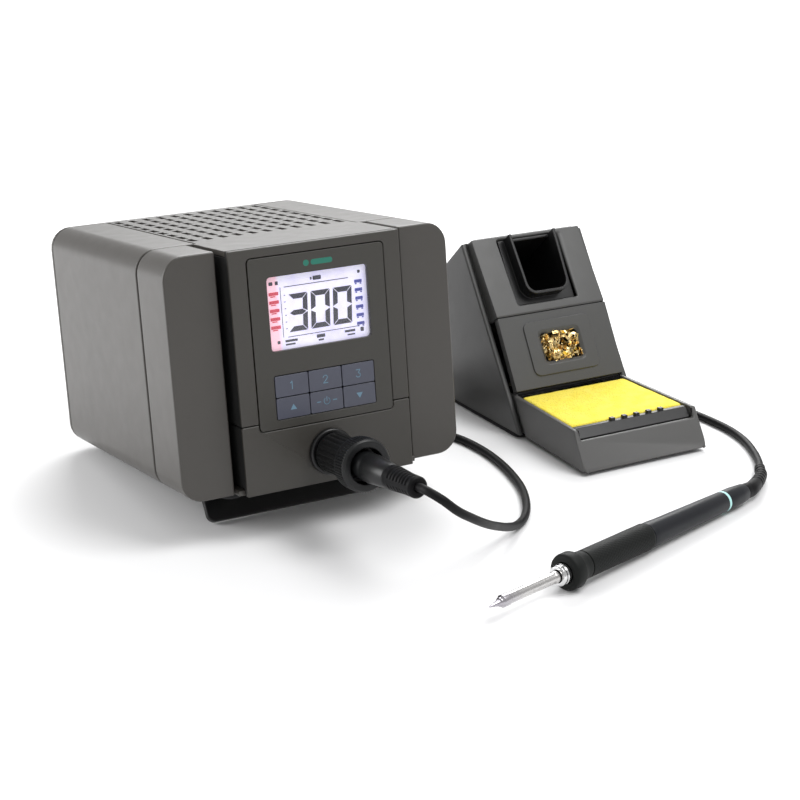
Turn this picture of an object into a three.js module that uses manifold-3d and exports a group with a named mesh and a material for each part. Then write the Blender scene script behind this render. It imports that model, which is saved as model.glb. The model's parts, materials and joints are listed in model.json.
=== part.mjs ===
// Soldering iron station: power unit on its tilt bail, tool stand with sponge tray, and an iron on its cord.
// Millimetres, +Z up. The front of the power unit faces -Y and everything stands on the plane z = 0.
import * as THREE from 'three';
import { mergeVertices } from 'three/addons/utils/BufferGeometryUtils.js';
import Module from 'manifold-3d';

const wasm = await Module();
wasm.setup();

// ---------------------------------------------------------------- driving dimensions

const GAP = 0.35;        // clearance between pieces that touch
const SHEET = 2.5;       // wall of the moulded and pressed covers

const UNIT = {
  width: 150, height: 117, depth: 160, corner: 11, tiltDeg: 7.5,
  frontBlock: 34, seam: 1.4, pillarWidth: 26.5, topStrip: 31.2, bottomStrip: 14.4, rearPanel: 2.5,
};
const FASCIA = { slot: 3.5, proud: 6.8, thickness: 3, seamZ: 33.5, flange: 33 };
const PANEL = { margin: 9.3, bottom: 29.9, top: 112.1, thickness: 2.2, proud: 0.2 };
const DISPLAY = { width: 52.4, height: 34.6, centreZ: 84.8, glass: 1.2, bezel: 3.75 };
const KEYS = {
  columns: 3, rows: 2, width: 17.3, height: 10.2, split: 0.45, centreZ: 44.8, depth: 2.2, travel: 0.6,
};
const VENT = { columns: 11, pitchX: 8, slotX: 3.2, pitchY: 12.6, slotY: 9.2, frontY: 42.4 };
const SOCKET = { z: 14.5, flangeR: 11.5, flange: 3, barrelR: 8, barrelEnd: 13, boreR: 6.4 };
const PLUG = {
  ringWall: 2, collarRise: 3, ringStart: 4, collarStart: 29, ringEnd: 38, tailEnd: 62, bootEnd: 86,
};
const FOOT = { radius: 6, height: 4.8, insetX: 31, frontY: 16, rearInset: 14 };
const BAIL = {
  halfWidth: 52, thickness: 3.5, hingeY: 39.4, hingeZ: 1.4, leanDeg: 34, barrelR: 2.4, pinR: 1.3,
    corner: 4, wall: 2,
};
const INLET = { x: -38, z: 27, width: 27.4, height: 20.4, depth: 20 };
const SWITCH = { x: 4, z: 27, width: 14.6, height: 21.4, rockDeg: 8, rockerR: 9 };
const FUSE = { x: 38, z: 27, bodyR: 6 };
const SCREW = { headR: 3.3, shankR: 1.5, insetX: 12, insetZ: 12, length: 8 };
const CORE = { x: -26, fromRear: 52, leg: 10, window: 12, height: 54, stack: 40, coil: 8.5 };
const BOARD = { x0: 14, x1: 66, overhang: 3.7, fromRear: 10, z: 9, thickness: 1.6 };

const STAND = {
  x: 185.4, y: -5.6, width: 81.2, cheek: 3.3, faceDeg: 56, topDeg: 42, topV: 121.7, topZ: 97.1, rearV: 152,
  baseThickness: 2, upperProud: 4.5, creaseProud: 7, lowerProud: 4.5, crease: 48, faceEnd: 90.6,
};
const HOLDER = {
  plateHalf: 19.7, plateLength: 42, mouthHalf: 16, mouthLength: 38.6, wall: 1.8, proud: 6.6, depth: 38,
};
const WOOL = {
  frameWidth: 44, frameHeight: 31, windowWidth: 24, windowHeight: 16, dish: 5, bevel: 1.4,
  centre: 20.5,
};
const TRAY = {
  inset: 3.5, flare: 3.4, wall: 2.6, height: 22.1, floor: 5, rear: 73, tongue: 76, foot: 2,
  front: 5.6, toe: -5.6, lipV: 3.5, lipZ: 16.7, topV: 6.4,
};
const COMB = {
  depth: 7.6, front: 17, back: 21.2, teeth: 5, toothWidth: 2.8, toothPitch: 8, toothX: 4.6,
    toothTop: 22.9, tooth: 2.6,
};
const SPONGE = { play: 0.5, depth: 51.4, top: 21.9 };

const IRON = { x: 59.5, y: -119.3, yawDeg: 16.9, collarRise: 2.1, rimAt: 4.2, rearR: 5.6, rearAt: 141.9 };
const GRIP = { start: 12.4, end: 59.4, wall: 1.2 };
const BARREL = { rearR: 5.3, end: 122.6, boreEnd: 50 };
const TIP = { start: -52.7, shoulder: -45.5, shaftR: 2.9, end: 40 };
const FERRULE = { wall: 2, end: 8 };
const CAP = { length: 17.6, endR: 4.4, band: 1.8 };

const CORD = { diameter: 4.2, sides: 8, turns: 4, coilR: 23.1, coilX: 107, coilY: 127 };

const COLOURS = {
  shell: 0x8f8d88, fascia: 0x44433f, panel: 0x3b3a36, black: 0x161617, rubber: 0x1d1f1f, key: 0x5a6070,
  glass: 0xd8dcf0, board: 0x1f5b3a, steel: 0xb9bcc0, copper: 0xa4643a, core: 0x55585c, aluminium: 0xb4b7ba,
  stand: 0x505152, sponge: 0xf3e85c, brass: 0xc9a24a, barrel: 0x2c2e33, band: 0xa9dcd8, screen: 0x2a2d35,
};

const radians = THREE.MathUtils.degToRad;
const tilt = radians(UNIT.tiltDeg);

// ---------------------------------------------------------------- solids and shapes

/** A closed geometry as a manifold solid, with its faces turned outwards. */
function solid(geometry) {
  const bare = geometry.index ? geometry.toNonIndexed() : geometry.clone();
  for (const name of Object.keys(bare.attributes)) {
    if (name !== 'position') bare.deleteAttribute(name);
  }
  const merged = mergeVertices(bare, 1e-4);
  const points = merged.attributes.position.array;
  const triangles = [];
  const index = merged.index.array;
  let volume = 0;
  for (let i = 0; i < index.length; i += 3) {
    const [a, b, c] = [index[i], index[i + 1], index[i + 2]];
    if (a === b || b === c || a === c) continue;
    triangles.push(a, b, c);
    const [p, q, r] = [a, b, c].map((k) => new THREE.Vector3().fromArray(points, k * 3));
    volume += p.dot(q.cross(r));
  }
  if (volume < 0) triangles.reverse();
  const mesh = new wasm.Mesh({
    numProp: 3, vertProperties: new Float32Array(points), triVerts: new Uint32Array(triangles),
  });
  return new wasm.Manifold(mesh);
}

/** A manifold solid as a three.js geometry. */
function toGeometry(body) {
  const mesh = body.getMesh();
  const geometry = new THREE.BufferGeometry();
  geometry.setAttribute('position', new THREE.BufferAttribute(new Float32Array(mesh.vertProperties), 3));
  geometry.setIndex(new THREE.BufferAttribute(new Uint32Array(mesh.triVerts), 1));
  geometry.computeVertexNormals();
  return geometry;
}

const join = (first, ...rest) => rest.reduce((sum, next) => sum.add(next), first);
const cut = (first, ...rest) => rest.reduce((left, next) => left.subtract(next), first);

/** A block between two corners. */
function block(x0, x1, y0, y1, z0, z1) {
  const geometry = new THREE.BoxGeometry(x1 - x0, y1 - y0, z1 - z0);
  return solid(geometry.translate((x0 + x1) / 2, (y0 + y1) / 2, (z0 + z1) / 2));
}

/** Extrudes a shape drawn in (y, z) from x0 to x1. */
function prismX(shape, x0, x1) {
  const geometry = new THREE.ExtrudeGeometry(shape, { depth: x1 - x0, bevelEnabled: false,
    curveSegments: 8 });
  const axes = [new THREE.Vector3(0, 1, 0), new THREE.Vector3(0, 0, 1), new THREE.Vector3(1, 0, 0)];
  geometry.applyMatrix4(new THREE.Matrix4().makeBasis(...axes));
  return solid(geometry.translate(x0, 0, 0));
}

/** Extrudes a shape drawn in (x, z) from y0 to y1. */
function prismY(shape, y0, y1) {
  const geometry = new THREE.ExtrudeGeometry(shape, { depth: y1 - y0, bevelEnabled: false,
    curveSegments: 8 });
  const axes = [new THREE.Vector3(1, 0, 0), new THREE.Vector3(0, 0, 1), new THREE.Vector3(0, -1, 0)];
  geometry.applyMatrix4(new THREE.Matrix4().makeBasis(...axes));
  return solid(geometry.translate(0, y1, 0));
}

/** Extrudes a shape drawn in (x, y) from z0 to z1. */
function prismZ(shape, z0, z1) {
  const geometry = new THREE.ExtrudeGeometry(shape, { depth: z1 - z0, bevelEnabled: false,
    curveSegments: 6 });
  return solid(geometry.translate(0, 0, z0));
}

/** A closed outline through points. */
function outline(points) {
  return new THREE.Shape(points.map(([a, b]) => new THREE.Vector2(a, b)));
}

/** A rectangle with rounded corners about a centre. */
function roundedRect(width, height, radius, ca = 0, cb = 0) {
  const [a, b] = [width / 2 - radius, height / 2 - radius];
  const steps = radius < 1.7 ? 2 : Math.min(6, Math.ceil(radius * 0.8) + 1);
  const points = [];
  [[a, b], [-a, b], [-a, -b], [a, -b]].forEach(([da, db], quarter) => {
    for (let i = 0; i <= steps; i += 1) {
      const angle = (quarter + i / steps) * (Math.PI / 2);
      points.push([ca + da + radius * Math.cos(angle), cb + db + radius * Math.sin(angle)]);
    }
  });
  return outline(points);
}

/** A turned solid: profile points are (radius, height) along +Y, from axis to axis or closed. */
function turned(profile, segments = 32) {
  const points = profile.map(([r, h]) => new THREE.Vector2(r, h));
  return new THREE.LatheGeometry(points, segments);
}

/** A plain round bar along +X, +Y or +Z from one end to the other. */
function bar(axis, radius, from, to, a, b, segments = 20) {
  const geometry = new THREE.CylinderGeometry(radius, radius, to - from, segments);
  const middle = (from + to) / 2;
  if (axis === 'x') return solid(geometry.rotateZ(Math.PI / 2).translate(middle, a, b));
  if (axis === 'y') return solid(geometry.translate(a, middle, b));
  return solid(geometry.rotateX(Math.PI / 2).translate(a, b, middle));
}

/** Adds a named piece to a group. */
function piece(group, name, body, colour, roughness = 0.55, metalness = 0) {
  const geometry = body.isBufferGeometry ? body : toGeometry(body);
  const material = new THREE.MeshStandardMaterial({ color: COLOURS[colour], roughness, metalness });
  const mesh = new THREE.Mesh(geometry, material);
  mesh.name = name;
  group.add(mesh);
  return mesh;
}

// ---------------------------------------------------------------- power unit

const halfW = UNIT.width / 2;
const rearFootY = UNIT.depth - FOOT.rearInset;
const pillarIn = halfW - UNIT.pillarWidth;
const shellIn = halfW - UNIT.topStrip;
const bottomIn = halfW - UNIT.bottomStrip;
const shellFront = UNIT.frontBlock + UNIT.seam / 2;
const pillarBack = UNIT.frontBlock - UNIT.seam / 2;
const fasciaFront = -FASCIA.proud;
const fasciaBack = fasciaFront + FASCIA.thickness;
const coverHalf = shellIn - GAP * 2;
const fasciaHalf = pillarIn - FASCIA.slot;
const panelWidth = 2 * (fasciaHalf - PANEL.margin);
const ventRows = Math.floor((UNIT.depth - VENT.frontY - 4) / VENT.pitchY);

/** Height of the unit's lower rear edge, so that the rear feet's lowest edge rests on z = 0. */
const footEdge = UNIT.depth - (rearFootY + FOOT.radius - 1);
const unitLift = FOOT.height * Math.cos(tilt) - footEdge * Math.sin(tilt);

/** Bench position of a point of the power unit's own frame. */
function unitPoint(x, y, z) {
  const back = y - UNIT.depth;
  return new THREE.Vector3(
    x,
    UNIT.depth + back * Math.cos(tilt) + z * Math.sin(tilt),
    unitLift - back * Math.sin(tilt) + z * Math.cos(tilt),
  );
}

/** The case's side outline in (x, z): the rounded left edge from topIn over the side to bottomIn. */
function sideOutline(side, inset, topIn, bottomIn2) {
  const radius = UNIT.corner - inset;
  const centre = halfW - UNIT.corner;
  const shape = new THREE.Shape();
  const low = inset;
  const high = UNIT.height - inset;
  const steps = 8;
  const points = [[topIn, high]];
  for (let i = 0; i <= steps; i += 1) {
    const angle = (Math.PI / 2) * (1 - i / steps);
    points.push([centre + radius * Math.cos(angle), UNIT.height - UNIT.corner + radius * Math.sin(angle)]);
  }
  for (let i = 0; i <= steps; i += 1) {
    const angle = (-Math.PI / 2) * (i / steps);
    points.push([centre + radius * Math.cos(angle), UNIT.corner + radius * Math.sin(angle)]);
  }
  points.push([bottomIn2, low]);
  shape.setFromPoints(points.map(([a, b]) => new THREE.Vector2(side * a, b)));
  return shape;
}

/** A bent side wall of the case: outline band between two insets, from y0 to y1. */
function sideWall(side, outer, inner, topIn, lowIn, y0, y1) {
  const skin = prismY(sideOutline(side, outer, topIn, lowIn), y0, y1);
  const hollow = prismY(sideOutline(side, inner, topIn - 20, lowIn - 40), y0 - 1, y1 + 1);
  return cut(skin, hollow);
}

function sideShell(side) {
  const rear = UNIT.depth - UNIT.rearPanel - GAP;
  const wall = sideWall(side, 0, SHEET, shellIn, bottomIn, shellFront, rear);
  const step = sideWall(side, SHEET - 0.2, SHEET + 2, shellIn + 4, bottomIn + 1, shellFront, shellFront + 4);
  const lipIn = pillarIn + SHEET + GAP;
  const lip = sideWall(side, SHEET + GAP, SHEET + 2, lipIn, bottomIn + 1, pillarBack - 3, shellFront + 4);
  return join(wall, step, lip);
}

function frontPillar(side) {
  const outer = prismY(sideOutline(side, 0, pillarIn, pillarIn), 0, pillarBack);
  const hollow = prismY(sideOutline(side, SHEET, pillarIn + SHEET, pillarIn + SHEET), 3, pillarBack + 1);
  return cut(outer, hollow);
}

function ventCover() {
  const rear = UNIT.depth - UNIT.rearPanel - GAP;
  const low = UNIT.height - SHEET;
  const plate = join(
    block(-coverHalf, coverHalf, UNIT.frontBlock - 0.5, rear, low, UNIT.height),
    block(-fasciaHalf, fasciaHalf, fasciaBack + GAP, UNIT.frontBlock, low, UNIT.height),
  );
  const slots = [];
  for (let column = 0; column < VENT.columns; column += 1) {
    const x = (column - (VENT.columns - 1) / 2) * VENT.pitchX;
    for (let row = 0; row < ventRows; row += 1) {
      const y = VENT.frontY + row * VENT.pitchY;
      slots.push(block(x - VENT.slotX / 2, x + VENT.slotX / 2, y, y + VENT.slotY, low - 1, UNIT.height + 1));
    }
  }
  return plate.subtract(wasm.Manifold.union(slots));
}

function upperFascia() {
  const half = fasciaHalf;
  const low = FASCIA.seamZ + GAP / 2;
  const flangeTop = UNIT.height - SHEET - GAP;
  const plate = block(-half, half, fasciaFront, fasciaBack, low, UNIT.height);
  const flanges = [-1, 1].map((side) => {
    const [a, b] = [side * half, side * (half - SHEET)].sort((p, q) => p - q);
    return block(a, b, fasciaBack - 0.5, FASCIA.flange, low, flangeTop);
  });
  return cut(join(plate, ...flanges), panelOpening());
}

/** The opening in the fascia that the control panel drops into. */
function panelOpening() {
  const height = PANEL.top - PANEL.bottom + 2 * GAP;
  const shape = roundedRect(panelWidth + 2 * GAP, height, 2, 0, (PANEL.top + PANEL.bottom) / 2);
  return prismY(shape, fasciaFront - 2, fasciaBack + 1);
}

function lowerFascia() {
  const half = fasciaHalf;
  const high = FASCIA.seamZ - GAP / 2;
  const floor = SHEET + GAP;
  const plate = block(-half, half, fasciaFront, fasciaBack, -0.4, high);
  const flanges = [-1, 1].map((side) => {
    const [a, b] = [side * half, side * (half - SHEET)].sort((p, q) => p - q);
    return block(a, b, fasciaBack - 0.5, FASCIA.flange, floor, high);
  });
  const hole = bar('y', SOCKET.barrelR + 1, fasciaFront - 1, fasciaBack + 1, 0, SOCKET.z, 32);
  return cut(join(plate, ...flanges), panelOpening(), hole);
}

const keysWidth = KEYS.columns * KEYS.width + (KEYS.columns - 1) * KEYS.split;
const keysHeight = KEYS.rows * KEYS.height + (KEYS.rows - 1) * KEYS.split;
const panelFront = fasciaFront - PANEL.proud;
const panelBack = panelFront + PANEL.thickness;

function controlPanel() {
  const height = PANEL.top - PANEL.bottom;
  const face = roundedRect(panelWidth, height, 2 - GAP, 0, (PANEL.top + PANEL.bottom) / 2);
  const plate = prismY(face, panelFront, panelBack);
  const glass = roundedRect(DISPLAY.width + 2 * GAP, DISPLAY.height + 2 * GAP, 1.6, 0, DISPLAY.centreZ);
  const keys = roundedRect(keysWidth + 2 * GAP, keysHeight + 2 * GAP, 1, 0, KEYS.centreZ);
  return cut(plate, prismY(glass, panelFront - 1, panelBack + 1), prismY(keys, panelFront - 1,
    panelBack + 1));
}

function keyCap(column, row) {
  const x = (column - (KEYS.columns - 1) / 2) * (KEYS.width + KEYS.split);
  const z = KEYS.centreZ + ((KEYS.rows - 1) / 2 - row) * (KEYS.height + KEYS.split);
  return prismY(roundedRect(KEYS.width, KEYS.height, 0.6, x, z), panelFront - 0.15, panelFront + KEYS.depth);
}

function keyMat() {
  const face = panelFront + KEYS.depth + KEYS.travel + GAP + 0.8;
  const mat = block(-keysWidth / 2 - 1.5, keysWidth / 2 + 1.5, face, face + 1.2,
    KEYS.centreZ - keysHeight / 2 - 1.5, KEYS.centreZ + keysHeight / 2 + 1.5);
  const domes = [];
  for (let column = 0; column < KEYS.columns; column += 1) {
    for (let row = 0; row < KEYS.rows; row += 1) {
      const x = (column - (KEYS.columns - 1) / 2) * (KEYS.width + KEYS.split);
      const z = KEYS.centreZ + ((KEYS.rows - 1) / 2 - row) * (KEYS.height + KEYS.split);
      domes.push(bar('y', 3, face - 0.8, face + 0.2, x, z, 12));
    }
  }
  return join(mat, ...domes);
}

function controlBoard() {
  const face = panelBack + 8;
  const board = block(-38, 38, face, face + 1.6, 31, 110);
  const chip = block(-26, -12, face + 1.5, face + 3.6, 62, 76);
  const header = block(10, 32, face + 1.5, face + 10, 40, 46);
  const buzzer = bar('y', 6, face + 1.5, face + 8, 18, 84, 20);
  const coilInductor = block(-24, -14, face + 1.5, face + 7, 88, 98);
  return join(board, chip, header, buzzer, coilInductor);
}

function bottomCover() {
  const rear = UNIT.depth - UNIT.rearPanel - GAP;
  const pocketHalf = BAIL.halfWidth + 1.2;
  const pocketFront = BAIL.hingeY - BAIL.barrelR - 1.2;
  const pocketTop = BAIL.hingeZ + BAIL.barrelR + 1.2;
  const { wall } = BAIL;
  const plate = join(
    block(-pillarIn + 0.6, pillarIn - 0.6, fasciaBack + GAP, shellFront + 1, 0, SHEET),
    block(-bottomIn + 0.6, bottomIn - 0.6, shellFront, rear, 0, SHEET),
    block(-pocketHalf - wall, pocketHalf + wall, pocketFront - wall, pocketRear + wall, 0, pocketTop + wall),
  );
  const pocket = block(-pocketHalf, pocketHalf, pocketFront, pocketRear, -1, pocketTop);
  const reach = pocketHalf + wall - 0.5;
  const pins = bar('x', BAIL.pinR + GAP, -reach, reach, BAIL.hingeY, BAIL.hingeZ, 16);
  return cut(plate, pocket, pins);
}

/** Leg length from the hinge, so that the deployed bail stands on z = 0. */
const hingeHeight = unitPoint(0, BAIL.hingeY, BAIL.hingeZ).z;
const lean = radians(BAIL.leanDeg);
const bailLength = (hingeHeight - (BAIL.thickness / 2) * Math.sin(lean)) / Math.cos(lean);

/** Rear end of the pocket that the bail folds into; the power board overhangs its wall a little. */
const pocketRear = BAIL.hingeY + bailLength + 2.5;
const boardFront = pocketRear + BAIL.wall - BOARD.overhang;

/** The folding bail that props up the front of the power unit. */
function tiltBail() {
  const shape = new THREE.Shape();
  const [half, r] = [BAIL.halfWidth, BAIL.corner];
  shape.moveTo(-half, 0);
  shape.lineTo(-half, -bailLength + r);
  shape.absarc(-half + r, -bailLength + r, r, Math.PI, Math.PI * 1.5);
  shape.absarc(half - r, -bailLength + r, r, Math.PI * 1.5, Math.PI * 2);
  shape.lineTo(half, 0);
  shape.closePath();
  const body = join(
    prismY(shape, -BAIL.thickness / 2, BAIL.thickness / 2),
    bar('x', BAIL.barrelR, -half, half, 0, 0, 20),
    bar('x', BAIL.pinR, -half - 2.2, half + 2.2, 0, 0, 12),
  );
  const geometry = toGeometry(body);
  geometry.rotateX(-(lean - tilt));
  return geometry.translate(0, BAIL.hingeY, BAIL.hingeZ);
}

function caseFoot(x, y) {
  const { radius, height } = FOOT;
  const profile = [[0, -height], [radius - 1.2, -height], [radius - 1, -height + 0.1], [radius, -height + 1],
    [radius, -GAP], [0, -GAP]];
  return turned(profile, 24).rotateX(Math.PI / 2).translate(x, y, 0);
}

const coreY = UNIT.depth - CORE.fromRear;

function transformerCore() {
  const width = 4 * CORE.leg + 2 * CORE.window;
  const z0 = SHEET + GAP;
  const [y0, y1] = [coreY - CORE.stack / 2, coreY + CORE.stack / 2];
  const body = block(CORE.x - width / 2, CORE.x + width / 2, y0, y1, z0, z0 + CORE.height);
  const windows = [-1, 1].map((side) => {
    const [a, b] = [side * CORE.leg, side * (CORE.leg + CORE.window)].sort((p, q) => p - q);
    return block(CORE.x + a, CORE.x + b, y0 - 1, y1 + 1, z0 + CORE.leg, z0 + CORE.height - CORE.leg);
  });
  return cut(body, ...windows);
}

function transformerCoil() {
  const z0 = SHEET + GAP + CORE.leg + GAP;
  const z1 = SHEET + GAP + CORE.height - CORE.leg - GAP;
  const outer = roundedRect(2 * (CORE.leg + CORE.window - GAP), CORE.stack + 2 * CORE.coil, 5, CORE.x, coreY);
  const inner = roundedRect(2 * (CORE.leg + GAP), CORE.stack + 2 * GAP, 0.5, CORE.x, coreY);
  return cut(prismZ(outer, z0, z1), prismZ(inner, z0 - 1, z1 + 1));
}

function powerBoard() {
  const { x0, x1, z, thickness } = BOARD;
  const y0 = boardFront;
  const y1 = UNIT.depth - BOARD.fromRear;
  const top = z + thickness;
  const parts = [
    block(x0, x1, y0, y1, z, top),
    bar('z', 10, top - 0.2, top + 30, x0 + 13, y0 + 14, 24),
    bar('z', 10, top - 0.2, top + 30, x0 + 13, y0 + 38, 24),
    block(x0 + 4, x0 + 22, y0 + 56, y0 + 70, top - 0.2, top + 16),
    block(x0 + 4, x0 + 16, y0 + 76, y0 + 88, top - 0.2, top + 9),
  ];
  for (const x of [x0 + 4, x1 - 4]) {
    for (const y of [y0 + 9, y1 - 6]) parts.push(bar('z', 2.5, SHEET + GAP, z + 0.5, x, y, 10));
  }
  return join(...parts);
}

function heatSink() {
  const [base, fin, pitch, fins, reach] = [3.5, 1.8, 6.4, 9, 13];
  const x1 = BOARD.x1 - 2;
  const y0 = boardFront + 18;
  const points = [[x1, y0]];
  points.push([x1, y0 + (fins - 1) * pitch + fin]);
  for (let i = fins - 1; i >= 0; i -= 1) {
    const y = y0 + i * pitch;
    points.push([x1 - base - reach, y + fin], [x1 - base - reach, y]);
    if (i > 0) points.push([x1 - base, y], [x1 - base, y - pitch + fin]);
  }
  points.reverse();
  return prismZ(outline(points), BOARD.z + BOARD.thickness + GAP, BOARD.z + BOARD.thickness + 42);
}

function rearPanel() {
  const [y0, y1] = [UNIT.depth - UNIT.rearPanel, UNIT.depth];
  const plate = prismY(roundedRect(UNIT.width, UNIT.height, UNIT.corner, 0, UNIT.height / 2), y0, y1);
  const inlet = block(INLET.x - INLET.width / 2 - GAP, INLET.x + INLET.width / 2 + GAP, y0 - 1, y1 + 1,
    INLET.z - INLET.height / 2 - GAP, INLET.z + INLET.height / 2 + GAP);
  const rocker = block(SWITCH.x - SWITCH.width / 2 - GAP, SWITCH.x + SWITCH.width / 2 + GAP, y0 - 1, y1 + 1,
    SWITCH.z - SWITCH.height / 2 - GAP, SWITCH.z + SWITCH.height / 2 + GAP);
  const fuse = bar('y', FUSE.bodyR + GAP, y0 - 1, y1 + 1, FUSE.x, FUSE.z, 24);
  const holes = screwPlaces().map(([x, z]) => bar('y', SCREW.shankR + GAP, y0 - 1, y1 + 1, x, z, 12));
  const louvres = [];
  for (let i = 0; i < 5; i += 1) louvres.push(block(-30, 30, y0 - 1, y1 + 1, 64 + i * 8, 67 + i * 8));
  return cut(plate, inlet, rocker, fuse, ...holes, ...louvres);
}

function screwPlaces() {
  const [x, z] = [halfW - SCREW.insetX, SCREW.insetZ];
  return [[-x, z], [x, z], [-x, UNIT.height - z], [x, UNIT.height - z]];
}

function caseScrew(x, z) {
  const face = UNIT.depth + GAP;
  const profile = [[0, -SCREW.length], [SCREW.shankR, -SCREW.length], [SCREW.shankR, 0], [SCREW.headR, 0],
    [SCREW.headR, 0.9], [SCREW.headR - 0.9, 2], [0, 2.3]];
  const screw = solid(turned(profile, 16).translate(0, face, 0));
  const slot = join(block(-0.4, 0.4, face + 1.2, face + 4, -2, 2), block(-2, 2, face + 1.2,
    face + 4, -0.4, 0.4));
  return toGeometry(screw.subtract(slot)).translate(x, 0, z);
}

function mainsInlet() {
  const face = UNIT.depth + GAP;
  const { x, z, width, height, depth } = INLET;
  const shape = (w, h, inset) => {
    const [a, b] = [w / 2, h / 2];
    return outline([[x - a, z - b], [x + a, z - b], [x + a, z + b - inset], [x + a - inset, z + b],
      [x - a + inset, z + b], [x - a, z + b - inset]]);
  };
  const body = join(
    block(x - width / 2, x + width / 2, face - depth, face + 0.5, z - height / 2, z + height / 2),
    prismY(roundedRect(width + 10, height + 5, 3, x, z), face, face + 2.2),
  );
  const hollow = prismY(shape(width - 4, height - 4.4, 3.6), face - depth + 3, face + 4);
  const pins = [[-7, -1.5], [0, 2.5], [7, -1.5]].map(([px, pz]) =>
    block(x + px - 1, x + px + 1, face - depth + 2.5, face - 5.5, z + pz - 2.4, z + pz + 2.4));
  return join(cut(body, hollow), ...pins);
}

function switchFrame() {
  const face = UNIT.depth + GAP;
  const { x, z, width, height } = SWITCH;
  const body = join(
    block(x - width / 2, x + width / 2, face - 12, face + 0.5, z - height / 2, z + height / 2),
    prismY(roundedRect(width + 4, height + 4, 1.5, x, z), face, face + 1.8),
  );
  const well = block(x - width / 2 + 1.6, x + width / 2 - 1.6, face - 10.4, face + 4,
    z - SWITCH.rockerR - 0.5, z + SWITCH.rockerR + 0.5);
  return cut(body, well);
}

function powerRocker() {
  const pivotY = UNIT.depth + GAP - 4;
  const { x, z, width, rockerR, rockDeg } = SWITCH;
  const points = [[5.4, 0]];
  const span = radians(32);
  for (let i = 0; i <= 5; i += 1) {
    const angle = span - (i / 5) * (span + radians(24));
    points.push([rockerR * Math.sin(angle), rockerR * Math.cos(angle)]);
  }
  points.push(...points.slice(1).reverse().map(([a, b]) => [a, -b]));
  const shape = outline(points);
  const geometry = toGeometry(prismX(shape, -width / 2 + 2, width / 2 - 2));
  return geometry.rotateX(radians(rockDeg)).translate(x, pivotY, z);
}

function fuseCap() {
  const face = UNIT.depth + GAP;
  const profile = [[0, -14], [FUSE.bodyR, -14], [FUSE.bodyR, 0], [8, 0], [8, 1.6], [FUSE.bodyR - 0.4, 2],
    [FUSE.bodyR - 0.8, 7], [0, 7]];
  const cap = solid(turned(profile, 24).translate(0, face, 0));
  return toGeometry(cap.subtract(block(-4, 4, face + 5.8, face + 9, -0.6, 0.6))).translate(FUSE.x, 0, FUSE.z);
}

/** A turned piece on the iron socket's axis; heights run outwards from the fascia's face. */
function onSocket(profile, segments = 32) {
  return turned(profile, segments).rotateX(Math.PI).translate(0, fasciaFront, SOCKET.z);
}

const plugR = SOCKET.barrelR - 1;
const plugFaceR = plugR + GAP;
const cupR = plugR + 1.8;
const ringR = SOCKET.barrelR + PLUG.ringWall;
const collarR = ringR + PLUG.collarRise;

function plugPieces(group) {
  const { flangeR, flange, barrelR, barrelEnd, boreR } = SOCKET;
  piece(group, 'iron_socket', onSocket([[0, -15], [barrelR + 0.6, -15], [barrelR + 0.6, GAP], [flangeR, GAP],
    [flangeR, flange - 0.6], [flangeR - 0.6, flange], [barrelR, flange], [barrelR, barrelEnd],
    [boreR, barrelEnd], [boreR, -10], [0, -10]]), 'black', 0.4);
  const { ringStart, collarStart, ringEnd, tailEnd, bootEnd } = PLUG;
  piece(group, 'plug_lock_ring', onSocket([[barrelR + GAP, ringStart], [ringR - 0.5, ringStart],
    [ringR, ringStart + 0.5], [ringR, collarStart - 3], [collarR, collarStart], [collarR, ringEnd - 1.2],
    [collarR - 1.2, ringEnd], [cupR, ringEnd], [cupR, collarStart + 2], [plugFaceR, collarStart + 2],
    [plugFaceR, barrelEnd + 1], [barrelR + GAP, barrelEnd + 1], [barrelR + GAP, ringStart]], 40),
    'rubber', 0.5);
  piece(group, 'plug_body', onSocket([[0, -8], [boreR - GAP, -8], [boreR - GAP, barrelEnd + 0.6],
    [plugR, barrelEnd + 0.6], [plugR, ringEnd + 2], [plugR - 1.4, tailEnd], [0, tailEnd]], 28),
    'rubber', 0.5);
  piece(group, 'plug_boot', onSocket([[0, tailEnd + GAP], [plugR - 1.3, tailEnd + GAP],
    [plugR - 1.9, bootEnd - 8], [plugR - 1.9, bootEnd - 1], [plugR - 2.9, bootEnd], [0, bootEnd]], 24),
  'rubber', 0.6);
}

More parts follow.
